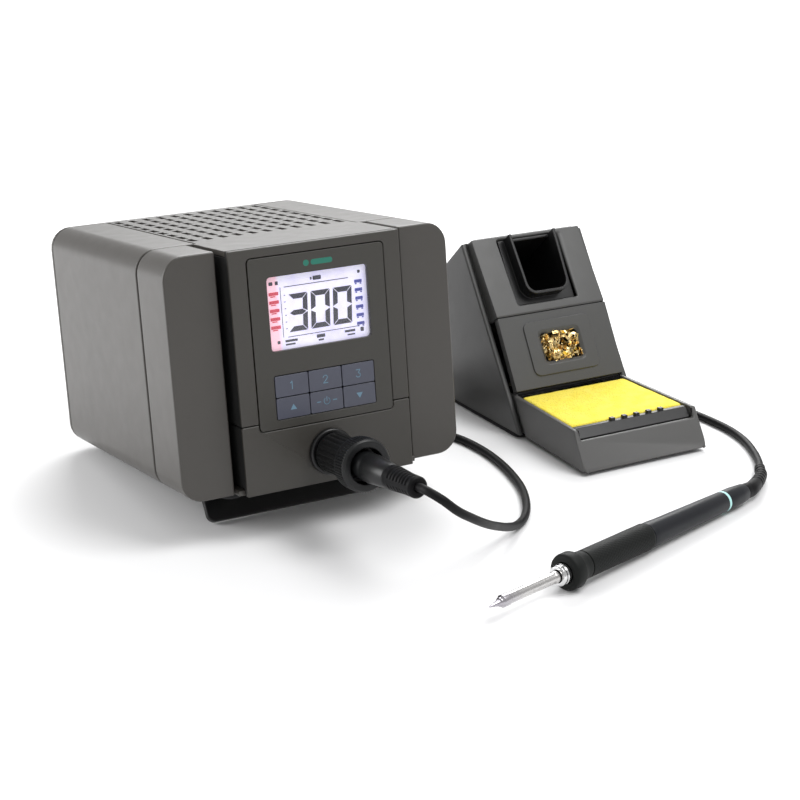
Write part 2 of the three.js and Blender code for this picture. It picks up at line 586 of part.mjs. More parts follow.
function buildPowerUnit() {
  const unit = new THREE.Group();
  unit.position.set(0, UNIT.depth, unitLift);
  unit.rotation.x = -tilt;
  const frame = new THREE.Group();
  frame.position.set(0, -UNIT.depth, 0);
  unit.add(frame);

  for (const [side, word] of [[-1, 'left'], [1, 'right']]) {
    piece(frame, `side_shell_${word}`, sideShell(side), 'shell');
    piece(frame, `front_pillar_${word}`, frontPillar(side), 'shell');
    piece(frame, `front_foot_${word}`, caseFoot(side * (halfW - FOOT.insetX), FOOT.frontY), 'rubber', 0.8);
    piece(frame, `rear_foot_${word}`, caseFoot(side * (halfW - FOOT.insetX), rearFootY), 'rubber', 0.8);
  }
  piece(frame, 'vent_cover', ventCover(), 'shell');
  piece(frame, 'bottom_cover', bottomCover(), 'shell');
  piece(frame, 'upper_fascia', upperFascia(), 'fascia');
  piece(frame, 'lower_fascia', lowerFascia(), 'fascia');
  piece(frame, 'control_panel', controlPanel(), 'panel');

  const glassFace = panelFront + 0.4;
  const glass = roundedRect(DISPLAY.width, DISPLAY.height, 1.3, 0, DISPLAY.centreZ);
  piece(frame, 'display_window', prismY(glass, glassFace, glassFace + DISPLAY.glass), 'glass', 0.1);
  const { width, height, bezel, centreZ } = DISPLAY;
  const screen = roundedRect(width + 2 * bezel, height + 2 * bezel, 1, 0, centreZ);
  piece(frame, 'display_module', prismY(screen, panelBack + GAP, panelBack + 6), 'screen', 0.3);
  for (let row = 0; row < KEYS.rows; row += 1) {
    for (let column = 0; column < KEYS.columns; column += 1) {
      piece(frame, `key_${row * KEYS.columns + column + 1}`, keyCap(column, row), 'key', 0.4);
    }
  }
  piece(frame, 'key_mat', keyMat(), 'rubber', 0.8);
  piece(frame, 'control_board', controlBoard(), 'board');
  piece(frame, 'tilt_bail', tiltBail(), 'black', 0.45);
  piece(frame, 'transformer_core', transformerCore(), 'core', 0.5, 0.6);
  piece(frame, 'transformer_coil', transformerCoil(), 'copper');
  piece(frame, 'power_board', powerBoard(), 'board');
  piece(frame, 'heat_sink', heatSink(), 'aluminium', 0.4, 0.9);
  piece(frame, 'rear_panel', rearPanel(), 'shell');
  piece(frame, 'mains_inlet', mainsInlet(), 'black');
  piece(frame, 'switch_frame', switchFrame(), 'black');
  piece(frame, 'power_rocker', powerRocker(), 'black');
  piece(frame, 'fuse_cap', fuseCap(), 'black');
  screwPlaces().forEach(([x, z], i) => piece(frame, `case_screw_${i + 1}`, caseScrew(x, z), 'steel', 0.3, 1));
  plugPieces(frame);
  return unit;
}

// ---------------------------------------------------------------- stand

const slope = radians(STAND.faceDeg);
const standHalf = STAND.width / 2;
const cheekIn = standHalf - STAND.cheek;
const panelHalf = cheekIn - 0.9;

/** Point (v, z) of the stand's side view: s down the cheek's front line and proud of it. */
function facePoint(s, proud = 0) {
  return [
    STAND.topV - s * Math.cos(slope) - proud * Math.sin(slope),
    STAND.topZ - s * Math.sin(slope) + proud * Math.cos(slope),
  ];
}

/** Point (v, z) along the stand's sloping top, from its front corner, with an inset below the surface. */
function topPoint(run, inset = 0) {
  const angle = radians(STAND.topDeg);
  return [
    STAND.topV + run * Math.cos(angle) - inset * Math.sin(angle),
    STAND.topZ - run * Math.sin(angle) - inset * Math.cos(angle),
  ];
}

const topRun = (STAND.rearV - STAND.topV) / Math.cos(radians(STAND.topDeg));
const cheekFoot = STAND.baseThickness + GAP;

/** Where a line of the face at a given stand-off meets a height. */
function faceAtHeight(z, proud = 0) {
  const s = (STAND.topZ + proud * Math.cos(slope) - z) / Math.sin(slope);
  return facePoint(s, proud);
}

function standHousing() {
  const rearTop = topPoint(topRun);
  const cheek = outline([faceAtHeight(cheekFoot), [STAND.rearV, cheekFoot], rearTop, topPoint(0),
    facePoint(3)]);
  const cheeks = [-1, 1].map((side) => {
    const [a, b] = [side * standHalf, side * cheekIn].sort((p, q) => p - q);
    return prismX(cheek, a, b);
  });
  const { upperProud, creaseProud, crease } = STAND;
  const face = outline([facePoint(0, upperProud), facePoint(crease, creaseProud),
    facePoint(crease, creaseProud - SHEET), facePoint(0, upperProud - SHEET)]);
  const flank = outline([facePoint(0, upperProud), facePoint(crease, creaseProud),
    facePoint(crease, -3), facePoint(0, -3)]);
  const flanks = [-1, 1].map((side) => {
    const [a, b] = [side * panelHalf, side * (panelHalf - SHEET)].sort((p, q) => p - q);
    return prismX(flank, a, b);
  });
  const tie = outline([facePoint(0.6, -3.2), facePoint(crease, -3.2), facePoint(crease, -0.8),
    facePoint(0.6, -0.8)]);
  const ties = [-1, 1].map((side) => {
    const [a, b] = [side * (cheekIn + 0.5), side * (panelHalf - SHEET)].sort((p, q) => p - q);
    return prismX(tie, a, b);
  });
  const top = outline([facePoint(0, upperProud), facePoint(SHEET, upperProud), topPoint(2, SHEET),
    topPoint(topRun, SHEET), topPoint(topRun)]);
  const rear = outline([[STAND.rearV - SHEET, cheekFoot], [STAND.rearV, cheekFoot], rearTop,
    [STAND.rearV - SHEET, rearTop[1] + 1]]);
  const shelfZ = woolPlace.z - WOOL.windowHeight / 2 - 12.2;
  const shelf = block(-cheekIn - 0.5, cheekIn + 0.5, woolPlace.v + 6, STAND.rearV - 1, shelfZ - 2, shelfZ);
  const shell = join(
    ...cheeks, prismX(face, -panelHalf, panelHalf), ...flanks, ...ties,
    prismX(top, -panelHalf, panelHalf), prismX(rear, -cheekIn - 0.5, cheekIn + 0.5), shelf,
    prismX(outline([topPoint(4, 0), topPoint(topRun, 0), topPoint(topRun, SHEET), topPoint(4, SHEET)]),
      -cheekIn - 0.5, cheekIn + 0.5),
  );
  return cut(shell, holderOpening());
}

const holderHalf = HOLDER.plateHalf + GAP;
const lintel = SHEET + 0.3;

/** Block drawn along the face: across, down the face and out of it, turned onto the stand. */
function onFace(x0, x1, s0, s1, out0, out1) {
  const shape = outline([facePoint(s0, out0), facePoint(s0, out1), facePoint(s1, out1), facePoint(s1, out0)]);
  return prismX(shape, x0, x1);
}

/** The opening in the housing's face that the iron holder fills, below the sloping top. */
function holderOpening() {
  return cut(onFace(-holderHalf, holderHalf, -6, HOLDER.plateLength + GAP, -5, 12), aboveTop(lintel));
}

function ironHolder() {
  const { plateHalf, plateLength, mouthHalf, mouthLength, wall, proud, depth } = HOLDER;
  const base = STAND.upperProud;
  const plate = onFace(-plateHalf, plateHalf, 0, plateLength, base - 3, base - 0.6);
  const front = base + proud;
  const back = base - depth;
  const outer = tunnelShape(mouthHalf, mouthLength, 7);
  const tunnel = facePrism(outer, back, front);
  const hollow = facePrism(tunnelShape(mouthHalf - wall, mouthLength - wall, 5.4), back + wall, front + 1);
  const under = lintel + GAP;
  const roof = cut(facePrism(outer, back, base).intersect(aboveTop(under + wall)), aboveTop(under));
  return cut(join(cut(join(plate, tunnel), hollow), roof), aboveTop(under));
}

/** Everything in front of and above the stand's sloping top, from a depth below its surface. */
function aboveTop(inset) {
  const points = [topPoint(-20, inset), topPoint(topRun + 10, inset), topPoint(topRun + 10, -40),
    topPoint(-20, -40)];
  return prismX(outline(points), -standHalf, standHalf);
}

/** The iron holder's section across the face: straight sides, open towards the top, round bottom corners. */
function tunnelShape(half, length, radius) {
  const shape = new THREE.Shape();
  shape.moveTo(-half, 6);
  shape.lineTo(-half + 1.4, -length + radius);
  shape.absarc(-half + 1.4 + radius, -length + radius, radius, Math.PI, Math.PI * 1.5);
  shape.absarc(half - 1.4 - radius, -length + radius, radius, Math.PI * 1.5, Math.PI * 2);
  shape.lineTo(half, 6);
  shape.closePath();
  return shape;
}

/** Extrudes a shape drawn on the face (across, up the face) between two stand-offs. */
function facePrism(shape, out0, out1, angle = slope, at = facePoint(0)) {
  const geometry = new THREE.ExtrudeGeometry(shape, { depth: out1 - out0, bevelEnabled: false,
    curveSegments: 6 });
  return solid(geometry.translate(0, 0, out0).rotateX(angle).translate(0, at[0], at[1]));
}

/** The lower cover's face: its top line, its own angle and its middle. */
const lowerTop = facePoint(STAND.crease + GAP, STAND.creaseProud);
const lowerEnd = facePoint(STAND.faceEnd, STAND.lowerProud);
const lowerAngle = Math.atan2(lowerTop[1] - lowerEnd[1], lowerTop[0] - lowerEnd[0]);
const woolPlace = {
  v: lowerTop[0] - WOOL.centre * Math.cos(lowerAngle),
  z: lowerTop[1] - WOOL.centre * Math.sin(lowerAngle),
};

function frontCover() {
  const { frameWidth, frameHeight, windowWidth, windowHeight, dish, bevel, centre } = WOOL;
  const length = Math.hypot(lowerTop[0] - lowerEnd[0], lowerTop[1] - lowerEnd[1]);
  const on = (shape, out0, out1) => facePrism(shape, out0, out1, lowerAngle, lowerTop);
  const rect = (w, h, r, up) => roundedRect(w, h, r, 0, up);
  const plate = on(rect(2 * panelHalf, length, 0.4, -length / 2), -SHEET, 0);
  const flangeBack = -STAND.lowerProud + 0.6;
  const flanges = [-1, 1].map((side) => on(rect(SHEET, length, 0.4, -length / 2), flangeBack, -1)
    .translate([side * (panelHalf - SHEET / 2), 0, 0]));
  const frame = on(rect(frameWidth, frameHeight, 4, -centre), -1, 0.9);
  const boss = on(rect(windowWidth + 6, windowHeight + 6, 2, -centre), -dish - 1.2, -1);
  const shape = rect(windowWidth, windowHeight, 1.5, -centre);
  const bevelGeometry = new THREE.ExtrudeGeometry(shape, {
    depth: 4, bevelEnabled: true, bevelThickness: bevel, bevelSize: bevel + 0.8, bevelSegments: 1,
      curveSegments: 4,
  });
  bevelGeometry.translate(0, 0, 0.95).rotateX(lowerAngle).translate(0, lowerTop[0], lowerTop[1]);
  const hole = on(shape, -dish - 3, 3);
  return cut(join(plate, ...flanges, frame, boss), solid(bevelGeometry), hole);
}

function brassWool() {
  const { windowWidth, windowHeight, dish } = WOOL;
  const shape = roundedRect(windowWidth + 4, windowHeight + 4, 6, 0, -WOOL.centre);
  const geometry = new THREE.ExtrudeGeometry(shape, {
    depth: 11, bevelEnabled: true, bevelThickness: 3, bevelSize: 3, bevelOffset: -3,
      bevelSegments: 2, curveSegments: 4,
  });
  geometry.translate(0, 0, -dish - 1.2 - GAP - 14).rotateX(lowerAngle).translate(0, lowerTop[0], lowerTop[1]);
  return solid(geometry);
}

function standBase() {
  const shape = roundedRect(2 * standHalf - 2, STAND.rearV - 60, 5, 0, (STAND.rearV + 60) / 2);
  return prismZ(shape, 0, STAND.baseThickness);
}

/** Half the tray's width at a station: it widens towards its front. */
function trayHalf(v) {
  const share = (TRAY.rear - v) / (TRAY.rear - TRAY.toe);
  return standHalf - TRAY.inset + TRAY.flare * share;
}

/** The tray's plan between two stations, an inset in from its sides, with rounded corners. */
function trayPlan(v0, v1, inset, radius) {
  const corners = [[-1, v0], [1, v0], [1, v1], [-1, v1]];
  const points = corners.map(([side, v]) => new THREE.Vector2(side * (trayHalf(v) - inset), v));
  const shape = new THREE.Shape();
  points.forEach((corner, i) => {
    const before = points[(i + 3) % 4].clone().sub(corner).setLength(radius).add(corner);
    const after = points[(i + 1) % 4].clone().sub(corner).setLength(radius).add(corner);
    if (i === 0) shape.moveTo(before.x, before.y);
    else shape.lineTo(before.x, before.y);
    shape.quadraticCurveTo(corner.x, corner.y, after.x, after.y);
  });
  shape.closePath();
  return shape;
}

function spongeTray() {
  const { wall, height, floor, front, rear, tongue, foot, toe, lipV, lipZ, topV } = TRAY;
  const rearLow = faceAtHeight(foot, 1.2)[0];
  const rearHigh = faceAtHeight(height, 1.2)[0];
  const side = outline([[toe, foot], [rearLow, foot], [rearHigh, height], [topV, height], [lipV, lipZ]]);
  const wide = prismZ(trayPlan(toe, rear + 20, 0, 4), foot, height).intersect(prismX(side, -60, 60));
  const half = cheekIn - 1;
  const narrow = block(-half, half, rearLow - 6, tongue, foot + GAP, height - 0.6);
  const well = prismZ(trayPlan(front, rear, wall, 2), floor, height + 4);
  const lipHalf = trayHalf(front) - wall - 0.3;
  const lowered = block(-lipHalf, lipHalf, toe - 1, front + 3, lipZ, height + 4);
  const under = outline([[toe + 3.4, foot - 1], [front - 2.4, foot - 1], [front - 2.4, lipZ - 4.1]]);
  const feet = [];
  for (const x of [6 - trayHalf(rear), trayHalf(rear) - 6]) {
    for (const v of [10, 50]) feet.push(bar('z', 4, 0, foot + 1, x, v, 14));
  }
  return cut(join(wide, narrow, ...feet), well, lowered, prismX(under, 3 - lipHalf, lipHalf - 3));
}

const combBack = TRAY.front + GAP + COMB.depth;

function wipingComb() {
  const start = TRAY.front + GAP;
  const low = TRAY.floor + GAP;
  const plan = trayPlan(start, combBack, TRAY.wall + GAP + 0.2, 2);
  const side = outline([[start - 1, low], [combBack + 1, low], [combBack + 1, COMB.back],
    [combBack - COMB.tooth, COMB.back],
    [start, COMB.front], [start - 1, COMB.front]]);
  const bars = [prismZ(plan, low, COMB.back).intersect(prismX(side, -60, 60))];
  for (let i = 0; i < COMB.teeth; i += 1) {
    const x = COMB.toothX + (i - (COMB.teeth - 1) / 2) * COMB.toothPitch;
    bars.push(block(x - COMB.toothWidth / 2, x + COMB.toothWidth / 2, combBack - COMB.tooth, combBack,
      COMB.back - 1, COMB.toothTop));
  }
  return join(...bars);
}

function sponge() {
  const start = combBack + GAP;
  const depth = Math.min(SPONGE.depth, TRAY.rear - GAP - start);
  return prismZ(trayPlan(start, start + depth, TRAY.wall + SPONGE.play, 2.5), TRAY.floor + GAP, SPONGE.top);
}

function buildStand() {
  const stand = new THREE.Group();
  stand.position.set(STAND.x, STAND.y, 0);
  piece(stand, 'stand_housing', standHousing(), 'stand');
  piece(stand, 'stand_front_cover', frontCover(), 'stand');
  piece(stand, 'iron_holder', ironHolder(), 'black', 0.4);
  piece(stand, 'brass_wool', brassWool(), 'brass', 0.35, 1);
  piece(stand, 'stand_base', standBase(), 'black', 0.7);
  piece(stand, 'sponge_tray', spongeTray(), 'stand');
  piece(stand, 'wiping_comb', wipingComb(), 'black', 0.5);
  piece(stand, 'sponge', sponge(), 'sponge', 0.95);
  return stand;
}

// ---------------------------------------------------------------- iron

const ferruleR = TIP.shaftR + FERRULE.wall;
const gripBore = ferruleR + 0.6;
const gripR = gripBore + GRIP.wall;
const noseR = gripR + IRON.collarRise;
const capStart = BARREL.end + CAP.band;
const capEnd = capStart + CAP.length;
const ironDrop = Math.asin((noseR - IRON.rearR) / IRON.rearAt);

/** Bench position of a point on the iron's axis, t along the axis from the collar's face. */
function ironPoint(t) {
  const yaw = radians(IRON.yawDeg);
  const flat = t * Math.cos(ironDrop);
  return new THREE.Vector3(
    IRON.x + flat * Math.cos(yaw),
    IRON.y + flat * Math.sin(yaw),
    noseR * Math.cos(ironDrop) + (IRON.rimAt - t) * Math.sin(ironDrop),
  );
}

/** Follows a curve with a round section whose radius is a function of the way along it. */
function swept(curve, radiusAt, segments, sides) {
  const geometry = new THREE.CylinderGeometry(1, 1, 1, sides, segments);
  const frames = curve.computeFrenetFrames(segments, false);
  const position = geometry.attributes.position;
  const point = new THREE.Vector3();
  for (let i = 0; i < position.count; i += 1) {
    point.fromBufferAttribute(position, i);
    const along = THREE.MathUtils.clamp(point.y + 0.5, 0, 1);
    const k = Math.round(along * segments);
    const radius = radiusAt(along);
    const centre = curve.getPointAt(along);
    centre.addScaledVector(frames.normals[k], point.x * radius);
    centre.addScaledVector(frames.binormals[k], point.z * radius);
    position.setXYZ(i, centre.x, centre.y, centre.z);
  }
  return toGeometry(solid(geometry));
}

/** The boot's bend, from the cap's end to the cord, in bench coordinates relative to the iron. */
function bootCurve() {
  const start = ironPoint(capEnd + GAP);
  const straight = ironPoint(capEnd + 5);
  const end = new THREE.Vector3(...CORD_TO_IRON[CORD_TO_IRON.length - 1]);
  const before = new THREE.Vector3(...CORD_TO_IRON[CORD_TO_IRON.length - 2]);
  const way = end.clone().sub(before).normalize();
  const meet = end.clone().addScaledVector(way, GAP);
  const control = meet.clone().addScaledVector(way, 7);
  return new THREE.CatmullRomCurve3([start, straight, control, meet], false, 'centripetal');
}

function buildIron() {
  const iron = new THREE.Group();
  iron.position.copy(ironPoint(0));
  iron.rotation.set(0, ironDrop, radians(IRON.yawDeg), 'ZYX');
  const along = (profile, segments = 32) => turned(profile, segments).rotateZ(-Math.PI / 2);

  const shaft = TIP.shaftR;
  const neck = shaft - 0.25;
  piece(iron, 'tip_cartridge', along([[0, TIP.start], [0.5, TIP.start + 0.4], [1.5, TIP.shoulder - 1.2],
    [2.1, TIP.shoulder], [shaft, TIP.shoulder + 1.4], [shaft, TIP.shoulder + 5],
    [neck, TIP.shoulder + 5.6], [neck, TIP.end], [0, TIP.end]], 24), 'steel', 0.2, 1);
  const bore = shaft + GAP;
  const { end } = FERRULE;
  piece(iron, 'nose_ferrule', along([[bore, -6.6], [ferruleR - 0.5, -6.6], [ferruleR, -6], [ferruleR, end],
    [bore, end], [bore, -6.6]]), 'steel', 0.15, 1);
  const socket = ferruleR + GAP;
  const gripFace = GRIP.start - GAP;
  piece(iron, 'nose_collar', along([[socket, -1.6], [noseR - 1.4, -1.6], [noseR - 0.3, -0.8], [noseR, 0.4],
    [noseR, IRON.rimAt], [noseR - 0.7, 5.6], [noseR - 1.8, 8.6], [gripR, gripFace], [gripBore, gripFace],
    [gripBore, end + 1], [socket, end + 1], [socket, -1.6]], 40), 'rubber', 0.6);
  piece(iron, 'grip_sleeve', along([[gripBore, GRIP.start], [gripR, GRIP.start], [gripR, GRIP.end - 1],
    [gripR - 0.3, GRIP.end], [gripBore, GRIP.end], [gripBore, GRIP.start]]), 'rubber', 0.75);
  const spigot = gripBore - 0.4;
  const channel = shaft + 0.5;
  const { rearR } = BARREL;
  piece(iron, 'handle_barrel', along([[channel, end + 1 + GAP], [spigot, end + 1 + GAP],
    [spigot, GRIP.end + GAP], [gripR - 0.4, GRIP.end + GAP], [gripR - 0.4, GRIP.end + 6],
    [rearR, BARREL.end], [0, BARREL.end], [0, BARREL.boreEnd], [channel, BARREL.boreEnd],
    [channel, end + 1 + GAP]]), 'barrel', 0.5);
  piece(iron, 'handle_band', along([[0, BARREL.end + GAP], [rearR - 0.05, BARREL.end + GAP],
    [rearR - 0.05, capStart - GAP], [0, capStart - GAP]]), 'band', 0.5);
  piece(iron, 'handle_cap', along([[0, capStart], [rearR, capStart], [rearR, capStart + 7],
    [CAP.endR, capEnd - 0.6], [CAP.endR - 0.5, capEnd], [0, capEnd]]), 'barrel', 0.5);
  return iron;
}

// ---------------------------------------------------------------- cord

/** The cord from the plug to the coil behind the power unit, as the hand lays it. */
const CORD_FROM_PLUG = [
  [0, -89.2, 51.4], [0.3, -96, 52], [4.6, -102, 49], [12, -102, 42.5], [24, -96.5, 34], [38, -86, 24.5],
  [52, -73, 15.5], [65, -61.5, 8], [76, -52.5, 3.2], [84, -46, 2.1], [91, -38, 2.1], [98, -27, 2.1],
  [104.5, -14, 2.1], [110, 2, 2.1], [114.5, 22, 2.1], [116.5, 44, 2.1], [114.5, 66, 2.1], [108, 82, 2.1],
  [99, 92, 2.1], [90, 100, 2.1],
];

/** The cord from the coil round the back of the stand to the iron. */
const CORD_TO_IRON = [
  [103, 157.6, 2.1], [122, 159.6, 2.1], [142, 161, 2.1], [168, 163, 2.1], [194, 163, 2.1], [218, 158, 2.1],
  [236, 146, 2.1], [244, 128, 2.1], [247.5, 106, 2.1], [249, 82, 2.1], [250.3, 58, 2.1], [252, 38, 2.1],
  [253.4, 20, 2.1], [253, 3, 2.1], [249.2, -14, 2.1], [242.3, -30, 2.1], [234, -44, 2.5], [226, -54.5, 3.1],
];

function cordTube(points) {
  const curve = new THREE.CatmullRomCurve3(points.map((p) => new THREE.Vector3(...p)), false, 'centripetal');
  const section = new THREE.Shape();
  const radius = CORD.diameter / 2;
  for (let i = 0; i < CORD.sides; i += 1) {
    const angle = ((i + 0.5) / CORD.sides) * Math.PI * 2;
    const [a, b] = [radius * Math.cos(angle), radius * Math.sin(angle)];
    if (i === 0) section.moveTo(a, b);
    else section.lineTo(a, b);
  }
  section.closePath();
  const steps = Math.round(curve.getLength() / (2.4 * CORD.diameter));
  return solid(new THREE.ExtrudeGeometry(section, { steps, bevelEnabled: false, extrudePath: curve }));
}

function coilRing() {
  const half = CORD.diameter * 0.5;
  const [inner, outer] = [CORD.coilR - half * 2, CORD.coilR + half * 2];
  const height = CORD.diameter * 1.9;
  const profile = [[inner + 1, 0], [outer - 1, 0], [outer, 1], [outer, height - 1.5], [outer - 1.5, height],
    [inner + 1.5, height], [inner, height - 1.5], [inner, 1], [inner + 1, 0]];
  return solid(turned(profile, 32).rotateX(Math.PI / 2).translate(CORD.coilX, CORD.coilY, 0));
}

function buildCord() {
  const cord = new THREE.Group();
  piece(cord, 'cord_from_plug', cordTube(CORD_FROM_PLUG), 'rubber', 0.6);
  piece(cord, 'cord_coil', coilRing(), 'rubber', 0.6);
  piece(cord, 'cord_to_iron', cordTube(CORD_TO_IRON), 'rubber', 0.6);
  return cord;
}

function buildBoot() {
  const boot = new THREE.Group();
  const radiusAt = (along) => 3.9 - 1.4 * along;
  piece(boot, 'cord_boot', swept(bootCurve(), radiusAt, 8, 14), 'rubber', 0.6);
  return boot;
}

// ---------------------------------------------------------------- assembly

const bench = new THREE.Group();
bench.add(buildPowerUnit(), buildStand(), buildIron(), buildBoot(), buildCord());

/** The origin is under the middle of the box around everything but the cord and what is on it. */
const ON_CORD = ['cord_from_plug', 'cord_coil', 'cord_to_iron', 'plug_body', 'plug_boot', 'plug_lock_ring'];
bench.updateMatrixWorld(true);
const extent = new THREE.Box3();
bench.traverse((node) => {
  if (node.isMesh && !ON_CORD.includes(node.name)) extent.union(new THREE.Box3().setFromObject(node, true));
});
const middle = extent.getCenter(new THREE.Vector3());
bench.position.set(-middle.x, -middle.y, -extent.min.z);

export default bench;
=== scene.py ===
"""Soldering iron station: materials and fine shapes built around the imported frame.

The CAD nodes carry the case, the stand and everything with plain faces. Turned and soft pieces, the
display's image, the legends, the brass turnings, the sponge and the cord are made here in their place.
Sizes are in millimetres in the object's own bench frame unless a name says metres.
"""

import json
import logging
import math
import random
from dataclasses import dataclass
from enum import Enum
from typing import Callable, Iterable, Sequence

import bmesh
import bpy
from mathutils import Matrix, Vector, noise
from mathutils.bvhtree import BVHTree


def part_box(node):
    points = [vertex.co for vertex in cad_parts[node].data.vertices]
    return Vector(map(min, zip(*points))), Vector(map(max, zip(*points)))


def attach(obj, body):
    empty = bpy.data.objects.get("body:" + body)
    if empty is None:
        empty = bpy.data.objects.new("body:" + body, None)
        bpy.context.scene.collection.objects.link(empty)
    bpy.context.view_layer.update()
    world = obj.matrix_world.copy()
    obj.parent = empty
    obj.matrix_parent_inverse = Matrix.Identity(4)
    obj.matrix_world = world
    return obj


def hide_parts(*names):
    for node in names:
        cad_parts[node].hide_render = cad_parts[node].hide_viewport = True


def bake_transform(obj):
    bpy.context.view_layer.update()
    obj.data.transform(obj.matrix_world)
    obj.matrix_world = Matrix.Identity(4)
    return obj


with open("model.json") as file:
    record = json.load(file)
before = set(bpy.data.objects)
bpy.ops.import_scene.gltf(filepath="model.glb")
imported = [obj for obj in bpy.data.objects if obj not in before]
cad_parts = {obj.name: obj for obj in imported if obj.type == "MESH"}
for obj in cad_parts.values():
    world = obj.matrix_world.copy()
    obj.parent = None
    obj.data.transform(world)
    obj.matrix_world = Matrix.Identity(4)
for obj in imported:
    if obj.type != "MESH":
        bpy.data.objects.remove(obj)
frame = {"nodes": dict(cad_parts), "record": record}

LOG = logging.getLogger("station")
MM = 0.001
Point2 = tuple[float, float]
Ripple = Callable[[float, float], float]


# ---------------------------------------------------------------- shading


class Sock:
    """A shader output that can be used in sums."""

    def __init__(self, graph: "Graph", out: bpy.types.NodeSocket) -> None:
        """Keeps the output.

        Args:
            graph: The graph the output belongs to.
            out: The node's output socket.
        """
        self.graph = graph
        self.out = out

    def __add__(self, other: "Value") -> "Sock":
        """Sum with a number or another output."""
        return self.graph.math("ADD", self, other)

    def __sub__(self, other: "Value") -> "Sock":
        """Difference from a number or another output."""
        return self.graph.math("SUBTRACT", self, other)

    def __rsub__(self, other: "Value") -> "Sock":
        """Difference of a number and this output."""
        return self.graph.math("SUBTRACT", other, self)

    def __mul__(self, other: "Value") -> "Sock":
        """Product with a number or another output."""
        return self.graph.math("MULTIPLY", self, other)

    __radd__ = __add__
    __rmul__ = __mul__


Value = Sock | float
Colour = Sock | tuple[float, float, float]


class Graph:
    """A material's node tree with short calls for the few nodes used here."""

    def __init__(self, name: str) -> None:
        """Makes an empty material around its principled shader.

        Args:
            name: The material's name.
        """
        self.material = bpy.data.materials.new(name)
        self.material.use_nodes = True
        self.tree = self.material.node_tree
        self.shader = next(n for n in self.tree.nodes if n.type == "BSDF_PRINCIPLED")
        self.place = self.node("TexCoord", out="Object")

    def feed(self, socket: bpy.types.NodeSocket, value: object) -> None:
        """Links an output to a socket, or sets the socket's constant.

        Args:
            socket: The input to feed.
            value: A Sock, a number or a tuple.
        """
        if isinstance(value, Sock):
            self.tree.links.new(value.out, socket)
        elif isinstance(value, tuple) and len(getattr(socket, "default_value", value)) == 4:
            socket.default_value = (*value[:3], 1.0)
        else:
            socket.default_value = value

    def node(self, kind: str, settings: dict | None = None, inputs: dict | None = None,
             out: int | str = 0) -> Sock:
        """Adds a node, its settings first and its inputs after.

        Args:
            kind: The node type without its ShaderNode prefix.
            settings: Attribute values.
            inputs: Input name or number to a constant or a Sock.
            out: The output wanted.

        Returns:
            The chosen output.
        """
        made = self.tree.nodes.new("ShaderNode" + kind)
        for key, value in (settings or {}).items():
            setattr(made, key, value)
        for key, value in (inputs or {}).items():
            self.feed(made.inputs[key], value)
        return Sock(self, made.outputs[out])

    def math(self, operation: str, a: Value, b: Value = 0.0) -> Sock:
        """A sum on two values.

        Args:
            operation: The Math node's operation.
            a: First value.
            b: Second value.

        Returns:
            The result.
        """
        return self.node("Math", {"operation": operation}, {0: a, 1: b})

    def noise(self, size: float, detail: float = 3.0, place: Sock | None = None) -> Sock:
        """Noise whose grains are about a size across.

        Args:
            size: Grain size in millimetres.
            detail: Octaves.
            place: Coordinates, or None for the object's own.

        Returns:
            A value from 0 to 1.
        """
        inputs = {"Vector": place or self.place, "Scale": 1.0 / (size * MM), "Detail": detail}
        return self.node("TexNoise", None, inputs)

    def ramp(self, value: Sock, low: float, high: float) -> Sock:
        """A value spread from 0 at low to 1 at high.

        Args:
            value: The value to spread.
            low: Where it starts.
            high: Where it ends.

        Returns:
            The clamped result.
        """
        return self.node("MapRange", {"clamp": True}, {0: value, 1: low, 2: high})

    def mix(self, factor: Value, a: Colour, b: Colour) -> Sock:
        """A blend of two colours.

        Args:
            factor: Share of the second.
            a: First colour.
            b: Second colour.

        Returns:
            The colour.
        """
        return self.node("Mix", {"data_type": "RGBA"}, {0: factor, 6: a, 7: b}, 2)

    def scaled(self, colour: Colour, by: Value) -> Sock:
        """A colour made lighter or darker.

        Args:
            colour: The colour.
            by: What it is multiplied by.

        Returns:
            The colour.
        """
        return self.node("VectorMath", {"operation": "SCALE"}, {0: colour, "Scale": by})

    def along(self, axis: Vector, origin: Vector) -> Sock:
        """Distance in metres from a point along a direction.

        Args:
            axis: Unit direction in the row frame.
            origin: Where the distance is zero, in metres.

        Returns:
            The distance.
        """
        dot = self.node("VectorMath", {"operation": "DOT_PRODUCT"}, {0: self.place, 1: tuple(axis)}, 1)
        return dot - axis.dot(origin)

    def bump(self, height: Sock, depth: float, strength: float = 1.0) -> Sock:
        """A normal from a height.

        Args:
            height: Values from 0 to 1.
            depth: What 1 is worth, in millimetres.
            strength: Share of the effect.

        Returns:
            The normal.
        """
        return self.node("Bump", None, {"Strength": strength, "Distance": depth * MM, "Height": height})

    def shade(self, **inputs: object) -> bpy.types.Material:
        """Feeds the principled shader; underscores in a name stand for spaces.

        Args:
            **inputs: Input name to a constant or a Sock.

        Returns:
            The material.
        """
        for key, value in inputs.items():
            self.feed(self.shader.inputs[key.replace("_", " ")], value)
        return self.material


